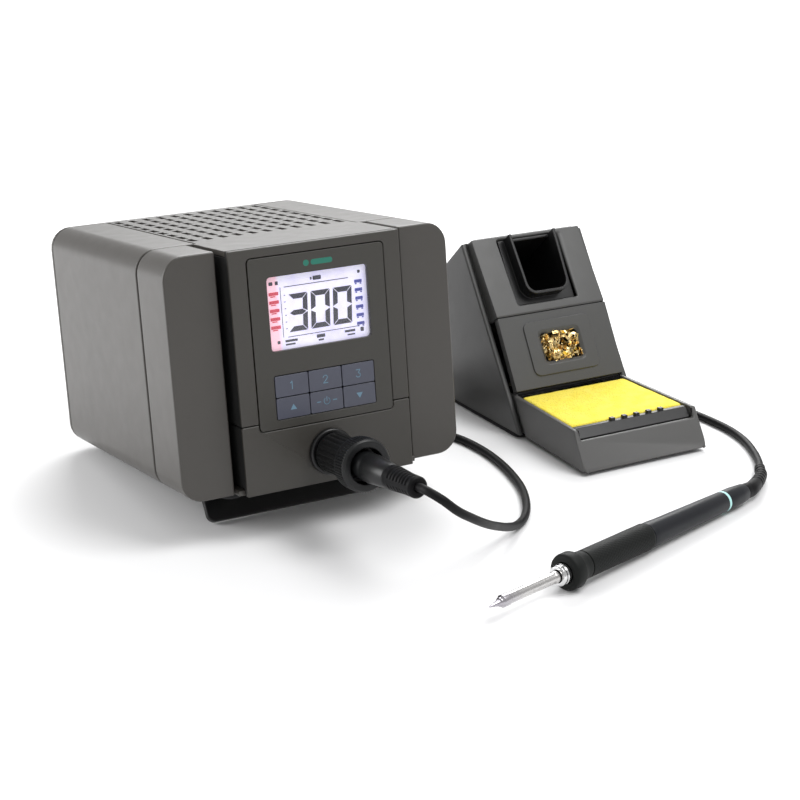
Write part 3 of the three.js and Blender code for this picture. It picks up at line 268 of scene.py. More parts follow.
@dataclass(frozen=True)
class Finish:
    """A plain surface: its colour, sheen and grain, with a slight unevenness over all of it."""

    name: str
    colour: tuple[float, float, float]
    roughness: float
    metallic: float = 0.0
    grain: float = 0.01
    grain_size: float = 0.5
    mottle: float = 0.05
    scuff: float = 0.06
    sheen: float = 0.5

    def material(self) -> bpy.types.Material:
        """Makes the material, or finds it if it was made before.

        Returns:
            The material.
        """
        found = bpy.data.materials.get(self.name)
        if found:
            return found
        g = Graph(self.name)
        cloud = g.noise(38.0, 4.0)
        speck = g.noise(2.6, 3.0)
        tone = 1.0 + (cloud - 0.5) * (2.0 * self.mottle) + (speck - 0.5) * self.mottle
        rough = self.roughness + (g.noise(9.0, 4.0) - 0.5) * (2.0 * self.scuff)
        normal = g.bump(g.noise(self.grain_size, 2.0), self.grain)
        return g.shade(Base_Color=g.scaled(self.colour, tone), Roughness=rough, Metallic=self.metallic,
                       Specular_IOR_Level=self.sheen, Normal=normal)


SHELL = Finish("shell_paint", (0.052, 0.048, 0.043), 0.36, grain=0.010, grain_size=0.45, mottle=0.06)
PANEL = Finish("panel_plastic", (0.036, 0.034, 0.029), 0.40, grain=0.005, grain_size=0.3, mottle=0.04)
STAND = Finish("stand_plastic", (0.058, 0.058, 0.057), 0.42, grain=0.012, grain_size=0.5, mottle=0.05)
TRAY_GREY = Finish("tray_plastic", (0.090, 0.089, 0.087), 0.42, grain=0.012, grain_size=0.5, mottle=0.05)
BLACK = Finish("black_plastic", (0.006, 0.006, 0.0065), 0.34, grain=0.006, grain_size=0.4, mottle=0.1,
               sheen=0.4)
PLUG = Finish("plug_plastic", (0.0065, 0.007, 0.0075), 0.36, grain=0.006, grain_size=0.3, mottle=0.12,
              sheen=0.35)
RUBBER = Finish("rubber", (0.010, 0.010, 0.011), 0.6, grain=0.012, grain_size=0.35, mottle=0.12, sheen=0.3)
CABLE = Finish("cord_rubber", (0.004, 0.004, 0.0045), 0.48, grain=0.008, grain_size=0.6, mottle=0.15,
               sheen=0.14)
GRIP = Finish("grip_rubber", (0.0075, 0.0085, 0.008), 0.55, grain=0.03, grain_size=0.55, mottle=0.15,
              sheen=0.15)
HANDLE = Finish("handle_plastic", (0.011, 0.012, 0.015), 0.40, grain=0.01, grain_size=0.4, mottle=0.1,
                sheen=0.2)
BAND = Finish("band_plastic", (0.44, 0.76, 0.74), 0.35, mottle=0.04)
CHROME = Finish("chrome", (0.70, 0.70, 0.70), 0.14, 1.0, grain=0.002, scuff=0.05, mottle=0.03)
ZINC = Finish("zinc", (0.48, 0.48, 0.47), 0.34, 1.0, grain=0.004, scuff=0.08)
ALUMINIUM = Finish("aluminium", (0.60, 0.61, 0.62), 0.42, 1.0, grain=0.006)
KEY = Finish("key_plastic", (0.062, 0.066, 0.092), 0.34, grain=0.004, mottle=0.10)
LEGEND = Finish("legend_print", (0.12, 0.22, 0.30), 0.5, mottle=0.1)
GREEN = Finish("badge_print", (0.010, 0.15, 0.105), 0.4, mottle=0.1)
WHITE = Finish("white_print", (0.72, 0.72, 0.70), 0.5, mottle=0.03)
CASE_BLACK = Finish("capacitor_sleeve", (0.02, 0.022, 0.035), 0.3)


class Special(Enum):
    """Materials with a pattern of their own."""

    FOAM = "sponge_foam"
    BRASS = "brass_turnings"
    WAD = "brass_wad"
    STEEL = "tip_steel"
    BOARD = "circuit_board"
    LAMINATE = "core_laminations"
    WINDING = "taped_winding"
    SCREEN = "display_light"
    INK = "display_ink"
    RED = "display_red"
    BLUE = "display_blue"
    WINDOW = "display_window_clear"
    FASCIA = "fascia_plastic"
    MAT = "key_mat_rubber"

    def material(self) -> bpy.types.Material:
        """Makes the material, or finds it if it was made before.

        Returns:
            The material.
        """
        return bpy.data.materials.get(self.value) or SPECIAL_MAKERS[self](Graph(self.value))


def foam(g: Graph) -> bpy.types.Material:
    """Open foam: pores of two sizes with painted shade in them, and a slightly uneven dye."""
    pore = g.node("TexVoronoi", {"feature": "F1"}, {"Vector": g.place, "Scale": 1 / (1.3 * MM)})
    fine = g.noise(0.55, 2.0)
    hole = g.ramp(pore, 0.08, 0.42)
    # Painted shade: a fifth darker in the pores; the noise terms are the uneven dye.
    tone = 0.80 + hole * 0.20 + (g.noise(14.0, 4.0) - 0.5) * 0.10 + (fine - 0.5) * 0.16
    colour = g.mix(g.ramp(g.noise(6.0, 4.0), 0.35, 0.75), (0.94, 0.76, 0.075), (0.95, 0.81, 0.13))
    height = hole * 0.7 + fine * 0.3
    return g.shade(Base_Color=g.scaled(colour, tone), Roughness=0.93, Normal=g.bump(height, 0.28),
                   Subsurface_Weight=0.0)


def brass(g: Graph) -> bpy.types.Material:
    """Brass turnings: bright, with heat tint, and much darker in random patches."""
    tint = g.ramp(g.noise(4.0, 3.0), 0.35, 0.7)
    # Random patches of the strips are darkened down to a sixth of their brightness.
    dark_patches = g.ramp(g.noise(2.4, 3.0), 0.36, 0.50)
    colour = g.mix(tint, (0.98, 0.80, 0.42), (0.80, 0.52, 0.18))
    rough = 0.20 + g.noise(1.2, 2.0) * 0.18
    return g.shade(Base_Color=g.scaled(colour, 0.16 + dark_patches * 0.84), Roughness=rough, Metallic=1.0,
                   Normal=g.bump(g.noise(0.5, 2.0), 0.03))


def wad(g: Graph) -> bpy.types.Material:
    """The shaded middle of the turnings."""
    tangle = g.ramp(g.noise(1.6, 4.0), 0.45, 0.75)
    return g.shade(Base_Color=g.mix(tangle, (0.012, 0.008, 0.004), (0.20, 0.12, 0.04)), Roughness=0.6,
                   Normal=g.bump(tangle, 0.4))


def steel(g: Graph) -> bpy.types.Material:
    """The heater cartridge: polished steel, straw and blue where it runs hot."""
    way = g.along(IRON_AXIS, IRON_PLACE @ Vector((-48.0, 0, 0)))
    heat = g.ramp(way, 0.0, 0.018)
    blued = g.mix(heat, (0.42, 0.40, 0.44), (0.60, 0.59, 0.58))
    tone = 0.94 + (g.noise(3.0, 3.0) - 0.5) * 0.14
    rough = 0.20 + g.noise(1.4, 3.0) * 0.14
    return g.shade(Base_Color=g.scaled(blued, tone), Roughness=rough, Metallic=1.0,
                   Normal=g.bump(g.noise(0.25, 1.0), 0.002))


def board(g: Graph) -> bpy.types.Material:
    """A lacquered board with copper tracks; parts standing on it are dark."""
    track = g.node("TexVoronoi", {"feature": "DISTANCE_TO_EDGE"},
                   {"Vector": g.place, "Scale": 1 / (4.5 * MM)})
    line = g.ramp(track, 0.10, 0.06)
    colour = g.mix(line, (0.008, 0.085, 0.035), (0.03, 0.19, 0.08))
    return g.shade(Base_Color=g.scaled(colour, 0.9 + g.noise(5.0) * 0.2), Roughness=0.34,
                   Normal=g.bump(line, 0.04))


def laminations(g: Graph) -> bpy.types.Material:
    """Stacked steel sheets seen on edge."""
    stack = g.node("TexWave", {"bands_direction": "Y"}, {"Vector": g.place, "Scale": 1 / (3.2 * MM)})
    tone = 0.7 + stack * 0.4 + (g.noise(6.0) - 0.5) * 0.2
    return g.shade(Base_Color=g.scaled((0.10, 0.10, 0.11), tone), Roughness=0.45, Metallic=0.7,
                   Normal=g.bump(stack, 0.05))


def winding(g: Graph) -> bpy.types.Material:
    """A coil wrapped in amber tape."""
    wrap = g.node("TexWave", {"bands_direction": "Z"}, {"Vector": g.place, "Scale": 1 / (9.0 * MM)})
    colour = g.mix(wrap, (0.42, 0.22, 0.05), (0.52, 0.30, 0.08))
    return g.shade(Base_Color=g.scaled(colour, 0.9 + g.noise(4.0) * 0.2), Roughness=0.3,
                   Normal=g.bump(wrap, 0.08))


def screen(g: Graph) -> bpy.types.Material:
    """The display's lit ground: lavender white, pink behind the bars on the left."""
    across = g.along(Vector((1, 0, 0)), UNIT_PLACE @ Vector((0, 0, 85)))
    pink = g.ramp(across, -0.0195, -0.0212)
    cloud = g.noise(9.0, 3.0)
    ground = g.mix(g.ramp(cloud, 0.3, 0.7), (0.70, 0.67, 0.93), (0.86, 0.84, 0.98))
    lit = g.mix(pink * 0.8, ground, (0.97, 0.52, 0.60))
    return g.shade(Base_Color=lit, Roughness=0.5, Emission_Color=lit, Emission_Strength=0.30)


def ink(rgb: tuple[float, float, float]) -> Callable[[Graph], bpy.types.Material]:
    """A flat print on the display.

    Args:
        rgb: Its colour.

    Returns:
        A maker of the material.
    """

    def make(g: Graph) -> bpy.types.Material:
        """Makes the print's material."""
        return g.shade(Base_Color=g.scaled(rgb, 0.85 + g.noise(2.0) * 0.3), Roughness=0.55)

    return make


def window(g: Graph) -> bpy.types.Material:
    """A clear pane: what shows of it is a faint reflection."""
    smear = g.noise(12.0, 4.0)
    return g.shade(Base_Color=(0.9, 0.92, 0.95), Metallic=1.0, Roughness=0.05 + smear * 0.08, Alpha=0.06)


def fascia(g: Graph) -> bpy.types.Material:
    """The fascia's plastic, with painted shade on the flanks that stand in the slots beside it and on its
    recess edges: near black behind the front face.
    """
    back = g.along((UNIT_PLACE.to_3x3() @ Vector((0, 1, 0))).normalized(),
                   UNIT_PLACE @ Vector((0, BENCH.fascia, 60)))
    # Painted shade: near black with depth behind the front face, where the slots beside the fascia lie in
    # shade.
    flank_shade = g.ramp(back, 0.0008, 0.0016)
    tone = 1.0 + (g.noise(38.0, 4.0) - 0.5) * 0.1 + (g.noise(2.6, 3.0) - 0.5) * 0.05
    rough = 0.42 + (g.noise(9.0, 4.0) - 0.5) * 0.12
    colour = g.mix(flank_shade, (0.040, 0.037, 0.032), (0.003, 0.003, 0.003))
    return g.shade(Base_Color=g.scaled(colour, tone), Roughness=rough + flank_shade * 0.3,
                   Normal=g.bump(g.noise(0.35, 2.0), 0.008))


def key_mat(g: Graph) -> bpy.types.Material:
    """The milky rubber mat under the keys."""
    return g.shade(Base_Color=g.scaled((0.055, 0.058, 0.078), 0.9 + g.noise(8.0) * 0.2), Roughness=0.7,
                   Normal=g.bump(g.noise(0.6), 0.02))


SPECIAL_MAKERS = {
    Special.FOAM: foam, Special.BRASS: brass, Special.WAD: wad, Special.STEEL: steel, Special.BOARD: board,
    Special.LAMINATE: laminations, Special.WINDING: winding, Special.SCREEN: screen,
    Special.INK: ink((0.010, 0.008, 0.028)), Special.RED: ink((0.70, 0.04, 0.09)),
    Special.BLUE: ink((0.035, 0.045, 0.34)), Special.WINDOW: window, Special.MAT: key_mat,
    Special.FASCIA: fascia,
}
Look = Finish | Special


# ---------------------------------------------------------------- places


@dataclass(frozen=True)
class Bench:
    """Where the assemblies stand, in the bench frame."""

    depth: float = 160.0
    tilt: float = 7.5
    lift: float = 3.584
    fascia: float = -6.8
    socket_z: float = 14.5
    stand_x: float = 185.4
    stand_y: float = -5.6
    base_front: float = 60.0
    iron_x: float = 59.5
    iron_y: float = -119.3
    iron_yaw: float = 16.9
    iron_drop: float = math.degrees(math.asin((8.8 - 5.6) / 141.9))


BENCH = Bench()


def bench_place() -> Matrix:
    """The bench frame in the row frame, from where the stand's base was packed.

    Returns:
        A matrix from millimetres to metres.
    """
    low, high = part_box("stand_base")
    origin = Vector(((low.x + high.x) / 2 - BENCH.stand_x * MM,
                     low.y - (BENCH.stand_y + BENCH.base_front) * MM, low.z))
    return Matrix.Translation(origin) @ Matrix.Scale(MM, 4)


def turn(degrees: float, axis: str) -> Matrix:
    """A rotation.

    Args:
        degrees: How far.
        axis: X, Y or Z.

    Returns:
        The matrix.
    """
    return Matrix.Rotation(math.radians(degrees), 4, axis)


BENCH_PLACE = bench_place()
UNIT_PLACE = (BENCH_PLACE @ Matrix.Translation((0, BENCH.depth, BENCH.lift)) @ turn(-BENCH.tilt, "X")
              @ Matrix.Translation((0, -BENCH.depth, 0)))
SOCKET_PLACE = UNIT_PLACE @ Matrix.Translation((0, BENCH.fascia, BENCH.socket_z)) @ turn(90, "X")
STAND_PLACE = BENCH_PLACE @ Matrix.Translation((BENCH.stand_x, BENCH.stand_y, 0))


def iron_place() -> Matrix:
    """The iron's frame: +X along its axis from the collar's face.

    Returns:
        A matrix from millimetres to metres.
    """
    drop = math.radians(BENCH.iron_drop)
    height = 8.8 * math.cos(drop) + 4.2 * math.sin(drop)
    return (BENCH_PLACE @ Matrix.Translation((BENCH.iron_x, BENCH.iron_y, height))
            @ turn(BENCH.iron_yaw, "Z") @ turn(BENCH.iron_drop, "Y"))


IRON_PLACE = iron_place()
IRON_AXIS = (IRON_PLACE.to_3x3() @ Vector((1, 0, 0))).normalized()
IRON_TURNED = IRON_PLACE @ turn(90, "Y")


# ---------------------------------------------------------------- shapes


@dataclass
class Piece:
    """What a new piece is called, looks like, rides on and stands for."""

    name: str
    look: Look
    body: str
    slot: str
    replaces: tuple[str, ...] = ()

    def build(self, verts: Iterable[Vector], faces: Iterable[Sequence[int]], sharp: float = 38.0,
              ride: bool = True) -> bpy.types.Object:
        """Makes the object from points in metres in the row frame.

        Args:
            verts: The points.
            faces: Point numbers of each face.
            sharp: Edges that turn by more degrees stay sharp.
            ride: Whether it is fixed to its body now.

        Returns:
            The object.
        """
        mesh = bpy.data.meshes.new(self.name)
        mesh.from_pydata([tuple(v) for v in verts], [], [tuple(f) for f in faces])
        shape = bmesh.new()
        shape.from_mesh(mesh)
        bmesh.ops.remove_doubles(shape, verts=shape.verts, dist=1e-7)
        bmesh.ops.recalc_face_normals(shape, faces=shape.faces)
        shape.to_mesh(mesh)
        shape.free()
        mesh.shade_smooth()
        mesh.set_sharp_from_angle(angle=math.radians(sharp))
        mesh.materials.append(self.look.material())
        obj = bpy.data.objects.new(self.name, mesh)
        bpy.context.scene.collection.objects.link(obj)
        if self.replaces:
            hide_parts(*self.replaces)
        if ride:
            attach(obj, self.body)
        return obj


def softened(profile: Sequence[Point2], radius: float) -> list[Point2]:
    """A profile with small rounds at its sharp corners.

    Args:
        profile: Points as (radius, height).
        radius: Length taken off each side of a corner.

    Returns:
        The finer profile.
    """
    points = [Vector(p) for p in profile]
    made = [tuple(points[0])]
    for before, here, after in zip(points, points[1:], points[2:]):
        a, b = before - here, after - here
        if min(a.length, b.length) < 1e-6 or a.angle(b) > math.radians(150):
            made.append(tuple(here))
            continue
        cut = min(radius, a.length * 0.45, b.length * 0.45)
        p, q = here + a.normalized() * cut, here + b.normalized() * cut
        for k in range(4):
            t = k / 3
            made.append(tuple(p * (1 - t) ** 2 + here * 2 * t * (1 - t) + q * t * t))
    made.append(tuple(points[-1]))
    return made


def dense(profile: Sequence[Point2], step: float) -> list[Point2]:
    """A profile with points no further apart than a step.

    Args:
        profile: Points as (radius, height).
        step: Largest distance.

    Returns:
        The finer profile.
    """
    made = [profile[0]]
    for a, b in zip(profile, profile[1:]):
        count = max(1, math.ceil(math.dist(a, b) / step))
        made += [(a[0] + (b[0] - a[0]) * k / count, a[1] + (b[1] - a[1]) * k / count)
                 for k in range(1, count + 1)]
    return made


def lathe(piece: Piece, place: Matrix, profile: Sequence[Point2], segments: int = 72, soft: float = 0.25,
          ripple: Ripple | None = None, step: float = 50.0) -> bpy.types.Object:
    """A turned piece about its own +Z.

    Args:
        piece: What it is.
        place: Its frame.
        profile: Points as (radius, height), from axis to axis or closed.
        segments: Faces round it.
        soft: Rounding of its corners.
        ripple: Added radius as a function of height and angle.
        step: Largest distance between points of the profile.

    Returns:
        The object.
    """
    points = dense(softened(profile, soft), step)
    verts, faces = [], []
    for r, h in points:
        for k in range(segments):
            angle = 2 * math.pi * k / segments
            radius = r + (ripple(h, angle) if ripple and r > 0.01 else 0.0)
            verts.append(place @ Vector((radius * math.cos(angle), radius * math.sin(angle), h)))
    for i in range(len(points) - 1):
        for k in range(segments):
            n = (k + 1) % segments
            faces.append((i * segments + k, i * segments + n, (i + 1) * segments + n,
                          (i + 1) * segments + k))
    return piece.build(verts, faces)


def ribs(count: int, depth: float, low: float, high: float, fade: float = 0.8) -> Ripple:
    """Lengthwise ribs between two heights.

    Args:
        count: Ribs round the piece.
        depth: Their depth.
        low: Where they start.
        high: Where they end.
        fade: Length over which they run out.

    Returns:
        The ripple.
    """

    def height(h: float, angle: float) -> float:
        """Added radius."""
        inside = max(0.0, min(1.0, (h - low) / fade, (high - h) / fade))
        return -depth * inside * (0.5 - 0.5 * math.cos(count * angle)) ** 2

    return height


def rings(pitch: float, depth: float, low: float, high: float, share: float = 0.5) -> Ripple:
    """Grooves round a piece between two heights.

    Args:
        pitch: Distance between grooves.
        depth: Their depth.
        low: Where they start.
        high: Where they end.
        share: Width of a groove as a share of the pitch.

    Returns:
        The ripple.
    """

    def height(h: float, _angle: float) -> float:
        """Added radius."""
        if not low < h < high:
            return 0.0
        return -depth if ((h - low) / pitch) % 1.0 < share else 0.0

    return height


def smooth_path(points: Sequence[Sequence[float]], step: float) -> list[Vector]:
    """Even points along a smooth curve through points.

    Args:
        points: What it passes through.
        step: Distance between the new points.

    Returns:
        The points.
    """
    p = [Vector(q) for q in points]
    p = [p[0] * 2 - p[1], *p, p[-1] * 2 - p[-2]]
    fine = []
    for a, b, c, d in zip(p, p[1:], p[2:], p[3:]):
        t1 = math.sqrt((b - a).length)
        t2 = t1 + math.sqrt((c - b).length)
        t3 = t2 + math.sqrt((d - c).length)
        for k in range(16):
            t = t1 + (t2 - t1) * k / 16
            ab = a * ((t1 - t) / t1) + b * (t / t1)
            bc = b * ((t2 - t) / (t2 - t1)) + c * ((t - t1) / (t2 - t1))
            cd = c * ((t3 - t) / (t3 - t2)) + d * ((t - t2) / (t3 - t2))
            abc = ab * ((t2 - t) / t2) + bc * (t / t2)
            bcd = bc * ((t3 - t) / (t3 - t1)) + cd * ((t - t1) / (t3 - t1))
            fine.append(abc * ((t2 - t) / (t2 - t1)) + bcd * ((t - t1) / (t2 - t1)))
    fine.append(p[-2])
    lengths = [0.0]
    for a, b in zip(fine, fine[1:]):
        lengths.append(lengths[-1] + (b - a).length)
    count = max(2, round(lengths[-1] / step))
    made, i = [], 0
    for k in range(count + 1):
        at = lengths[-1] * k / count
        while i < len(lengths) - 2 and lengths[i + 1] < at:
            i += 1
        t = (at - lengths[i]) / max(1e-12, lengths[i + 1] - lengths[i])
        made.append(fine[i].lerp(fine[i + 1], min(1.0, t)))
    return made


def sweep(path: Sequence[Vector], section: Sequence[Point2], scale: Callable[[float], float] = lambda t: 1.0
          ) -> tuple[list[Vector], list[tuple[int, ...]]]:
    """A section carried along a path, closed at both ends.

    Args:
        path: Points of the centreline.
        section: Points of the section about it.
        scale: Size of the section as a function of the share of the way.

    Returns:
        Points and faces.
    """
    verts, faces = [], []
    n = len(section)
    normal = None
    for i, here in enumerate(path):
        tangent = (path[min(i + 1, len(path) - 1)] - path[max(i - 1, 0)]).normalized()
        if normal is None:
            normal = tangent.orthogonal().normalized()
        normal = (normal - tangent * normal.dot(tangent)).normalized()
        side = tangent.cross(normal)
        size = scale(i / (len(path) - 1))
        verts += [here + normal * (a * size) + side * (b * size) for a, b in section]
        if i:
            faces += [((i - 1) * n + k, (i - 1) * n + (k + 1) % n, i * n + (k + 1) % n, i * n + k)
                      for k in range(n)]
    faces += [tuple(range(n - 1, -1, -1)), tuple(range((len(path) - 1) * n, len(path) * n))]
    return verts, faces


def circle(radius: float, sides: int) -> list[Point2]:
    """A round section.

    Args:
        radius: Its radius.
        sides: Its corners.

    Returns:
        The points.
    """
    return [(radius * math.cos(2 * math.pi * k / sides), radius * math.sin(2 * math.pi * k / sides))
            for k in range(sides)]


def marks(piece: Piece, place: Matrix, outlines: Iterable[Sequence[Point2]], front: float,
          thickness: float = 0.06) -> bpy.types.Object:
    """Flat marks drawn in (x, z), facing -Y of a frame.

    Args:
        piece: What they are.
        place: The frame.
        outlines: Their outlines.
        front: Y of their faces.
        thickness: How thick they are.

    Returns:
        The object.
    """
    verts, faces = [], []
    for outline in outlines:
        start, n = len(verts), len(outline)
        for y in (front, front + thickness):
            verts += [place @ Vector((x, y, z)) for x, z in outline]
        faces.append(tuple(range(start, start + n)))
        faces.append(tuple(range(start + 2 * n - 1, start + n - 1, -1)))
        faces += [(start + k, start + (k + 1) % n, start + n + (k + 1) % n,
                   start + n + k) for k in range(n)]
    return piece.build(verts, faces, sharp=20)


def bar(x: float, z: float, width: float, height: float, radius: float = 0.0) -> list[Point2]:
    """A rectangle about a centre, with round corners if it has a radius.

    Args:
        x: Centre.
        z: Centre.
        width: Its width.
        height: Its height.
        radius: Its corners.

    Returns:
        The outline.
    """
    a, b = width / 2 - radius, height / 2 - radius
    steps = 4 if radius else 0
    made = []
    for quarter, (ca, cb) in enumerate(((a, b), (-a, b), (-a, -b), (a, -b))):
        for k in range(steps + 1):
            angle = (quarter + (k / steps if steps else 0.5)) * math.pi / 2
            made.append((x + ca + radius * math.cos(angle), z + cb + radius * math.sin(angle)))
    return made


def stroke(points: Sequence[Point2], width: float) -> list[list[Point2]]:
    """A line of a width as one quad for each stretch.

    Args:
        points: The line.
        width: Its width.

    Returns:
        The quads.
    """
    made = []
    for a, b in zip(points, points[1:]):
        p, q = Vector(a), Vector(b)
        along = (q - p).normalized() * width / 2
        side = Vector((-along.y, along.x))
        made.append([tuple(p - along + side), tuple(p - along - side), tuple(q + along - side),
                     tuple(q + along + side)])
    return made


def owner(node: str) -> tuple[str, str]:
    """Where the record puts a node.

    Args:
        node: The node.

    Returns:
        Its body and its material slot.
    """
    record = frame["record"]
    body = next(name for name, nodes in record["behaviour"]["bodies"].items() if node in nodes)
    slot = next(part["material_slot"] for part in record["subparts"] if part["node"] == node)
    return body, slot


def rounded(obj: bpy.types.Object, bevel: float) -> None:
    """Adds the modifiers that join flat faces and round the edges between them.

    Args:
        obj: The object.
        bevel: Width of the rounding in millimetres, or 0 for none.
    """
    weld = obj.modifiers.new("weld", "WELD")
    weld.merge_threshold = 1e-6
    if bevel:
        flat = obj.modifiers.new("flat", "DECIMATE")
        flat.decimate_type = "DISSOLVE"
        flat.angle_limit = math.radians(0.6)
        edge = obj.modifiers.new("edge", "BEVEL")
        edge.width = bevel * MM
        edge.segments = 2
        edge.limit_method = "ANGLE"
        edge.angle_limit = math.radians(30)
        edge.use_clamp_overlap = False
        edge.miter_outer = "MITER_ARC"
        edge.harden_normals = True
    else:
        crease = obj.modifiers.new("crease", "EDGE_SPLIT")
        crease.split_angle = math.radians(30)
    level = obj.modifiers.new("level", "WEIGHTED_NORMAL")
    level.keep_sharp = True
    level.weight = 100


def mended(node: bpy.types.Object, limit: float) -> bpy.types.Mesh | None:
    """The node's rounded mesh with stray corners put back on its surface.

    Args:
        node: The node with its modifiers.
        limit: How far a corner may lie from the node's own surface, in millimetres.

    Returns:
        The mended mesh, or None where no corner strays.
    """
    surface = BVHTree.FromPolygons([v.co for v in node.data.vertices],
                                   [p.vertices[:] for p in node.data.polygons])
    graph = bpy.context.evaluated_depsgraph_get()
    mesh = bpy.data.meshes.new_from_object(node.evaluated_get(graph))
    strays = 0
    for vertex in mesh.vertices:
        place, _normal, _face, distance = surface.find_nearest(vertex.co)
        if distance > limit * MM:
            vertex.co = place
            strays += 1
    if strays:
        return mesh
    bpy.data.meshes.remove(mesh)
    return None


def carry(node: str, look: Look, bevel: float = 0.5) -> None:
    """Gives a CAD node its material and rounds its edges.

    Where rounding throws a corner out of place, a mended copy stands for the node.

    Args:
        node: The node.
        look: Its material.
        bevel: Width of the rounding, or 0 for none.
    """
    obj = frame["nodes"][node]
    obj.data.materials.clear()
    obj.data.materials.append(look.material())
    obj.data.shade_smooth()
    rounded(obj, bevel)
    mesh = mended(obj, bevel * 0.75 + 0.05) if bevel else None
    if mesh:
        body, slot = owner(node)
        copy = bpy.data.objects.new(node + "_rounded", mesh)
        bpy.context.scene.collection.objects.link(copy)
        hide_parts(node)
        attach(copy, body)
        LOG.info("%s stands for its node", copy.name)


# ---------------------------------------------------------------- power unit


LEGEND_WIDTH = 0.42
FIGURE_PATHS = (
    [(-0.7, 1.1), (0.1, 1.8), (0.1, -1.8)],
    [(-1.1, 1.1), (-0.5, 1.8), (0.6, 1.8), (1.1, 1.1), (0.9, 0.3), (-1.1, -1.8), (1.1, -1.8)],
    [(-1.0, 1.8), (1.0, 1.8), (0.1, 0.3), (1.0, -0.3), (1.1, -1.1), (0.5, -1.8), (-0.5, -1.8),
     (-1.1, -1.2)],
)
UP_SIGN = [[(-1.7, -1.2), (1.7, -1.2), (0, 1.5)]]
DOWN_SIGN = [[(-1.7, 1.2), (0, -1.5), (1.7, 1.2)]]


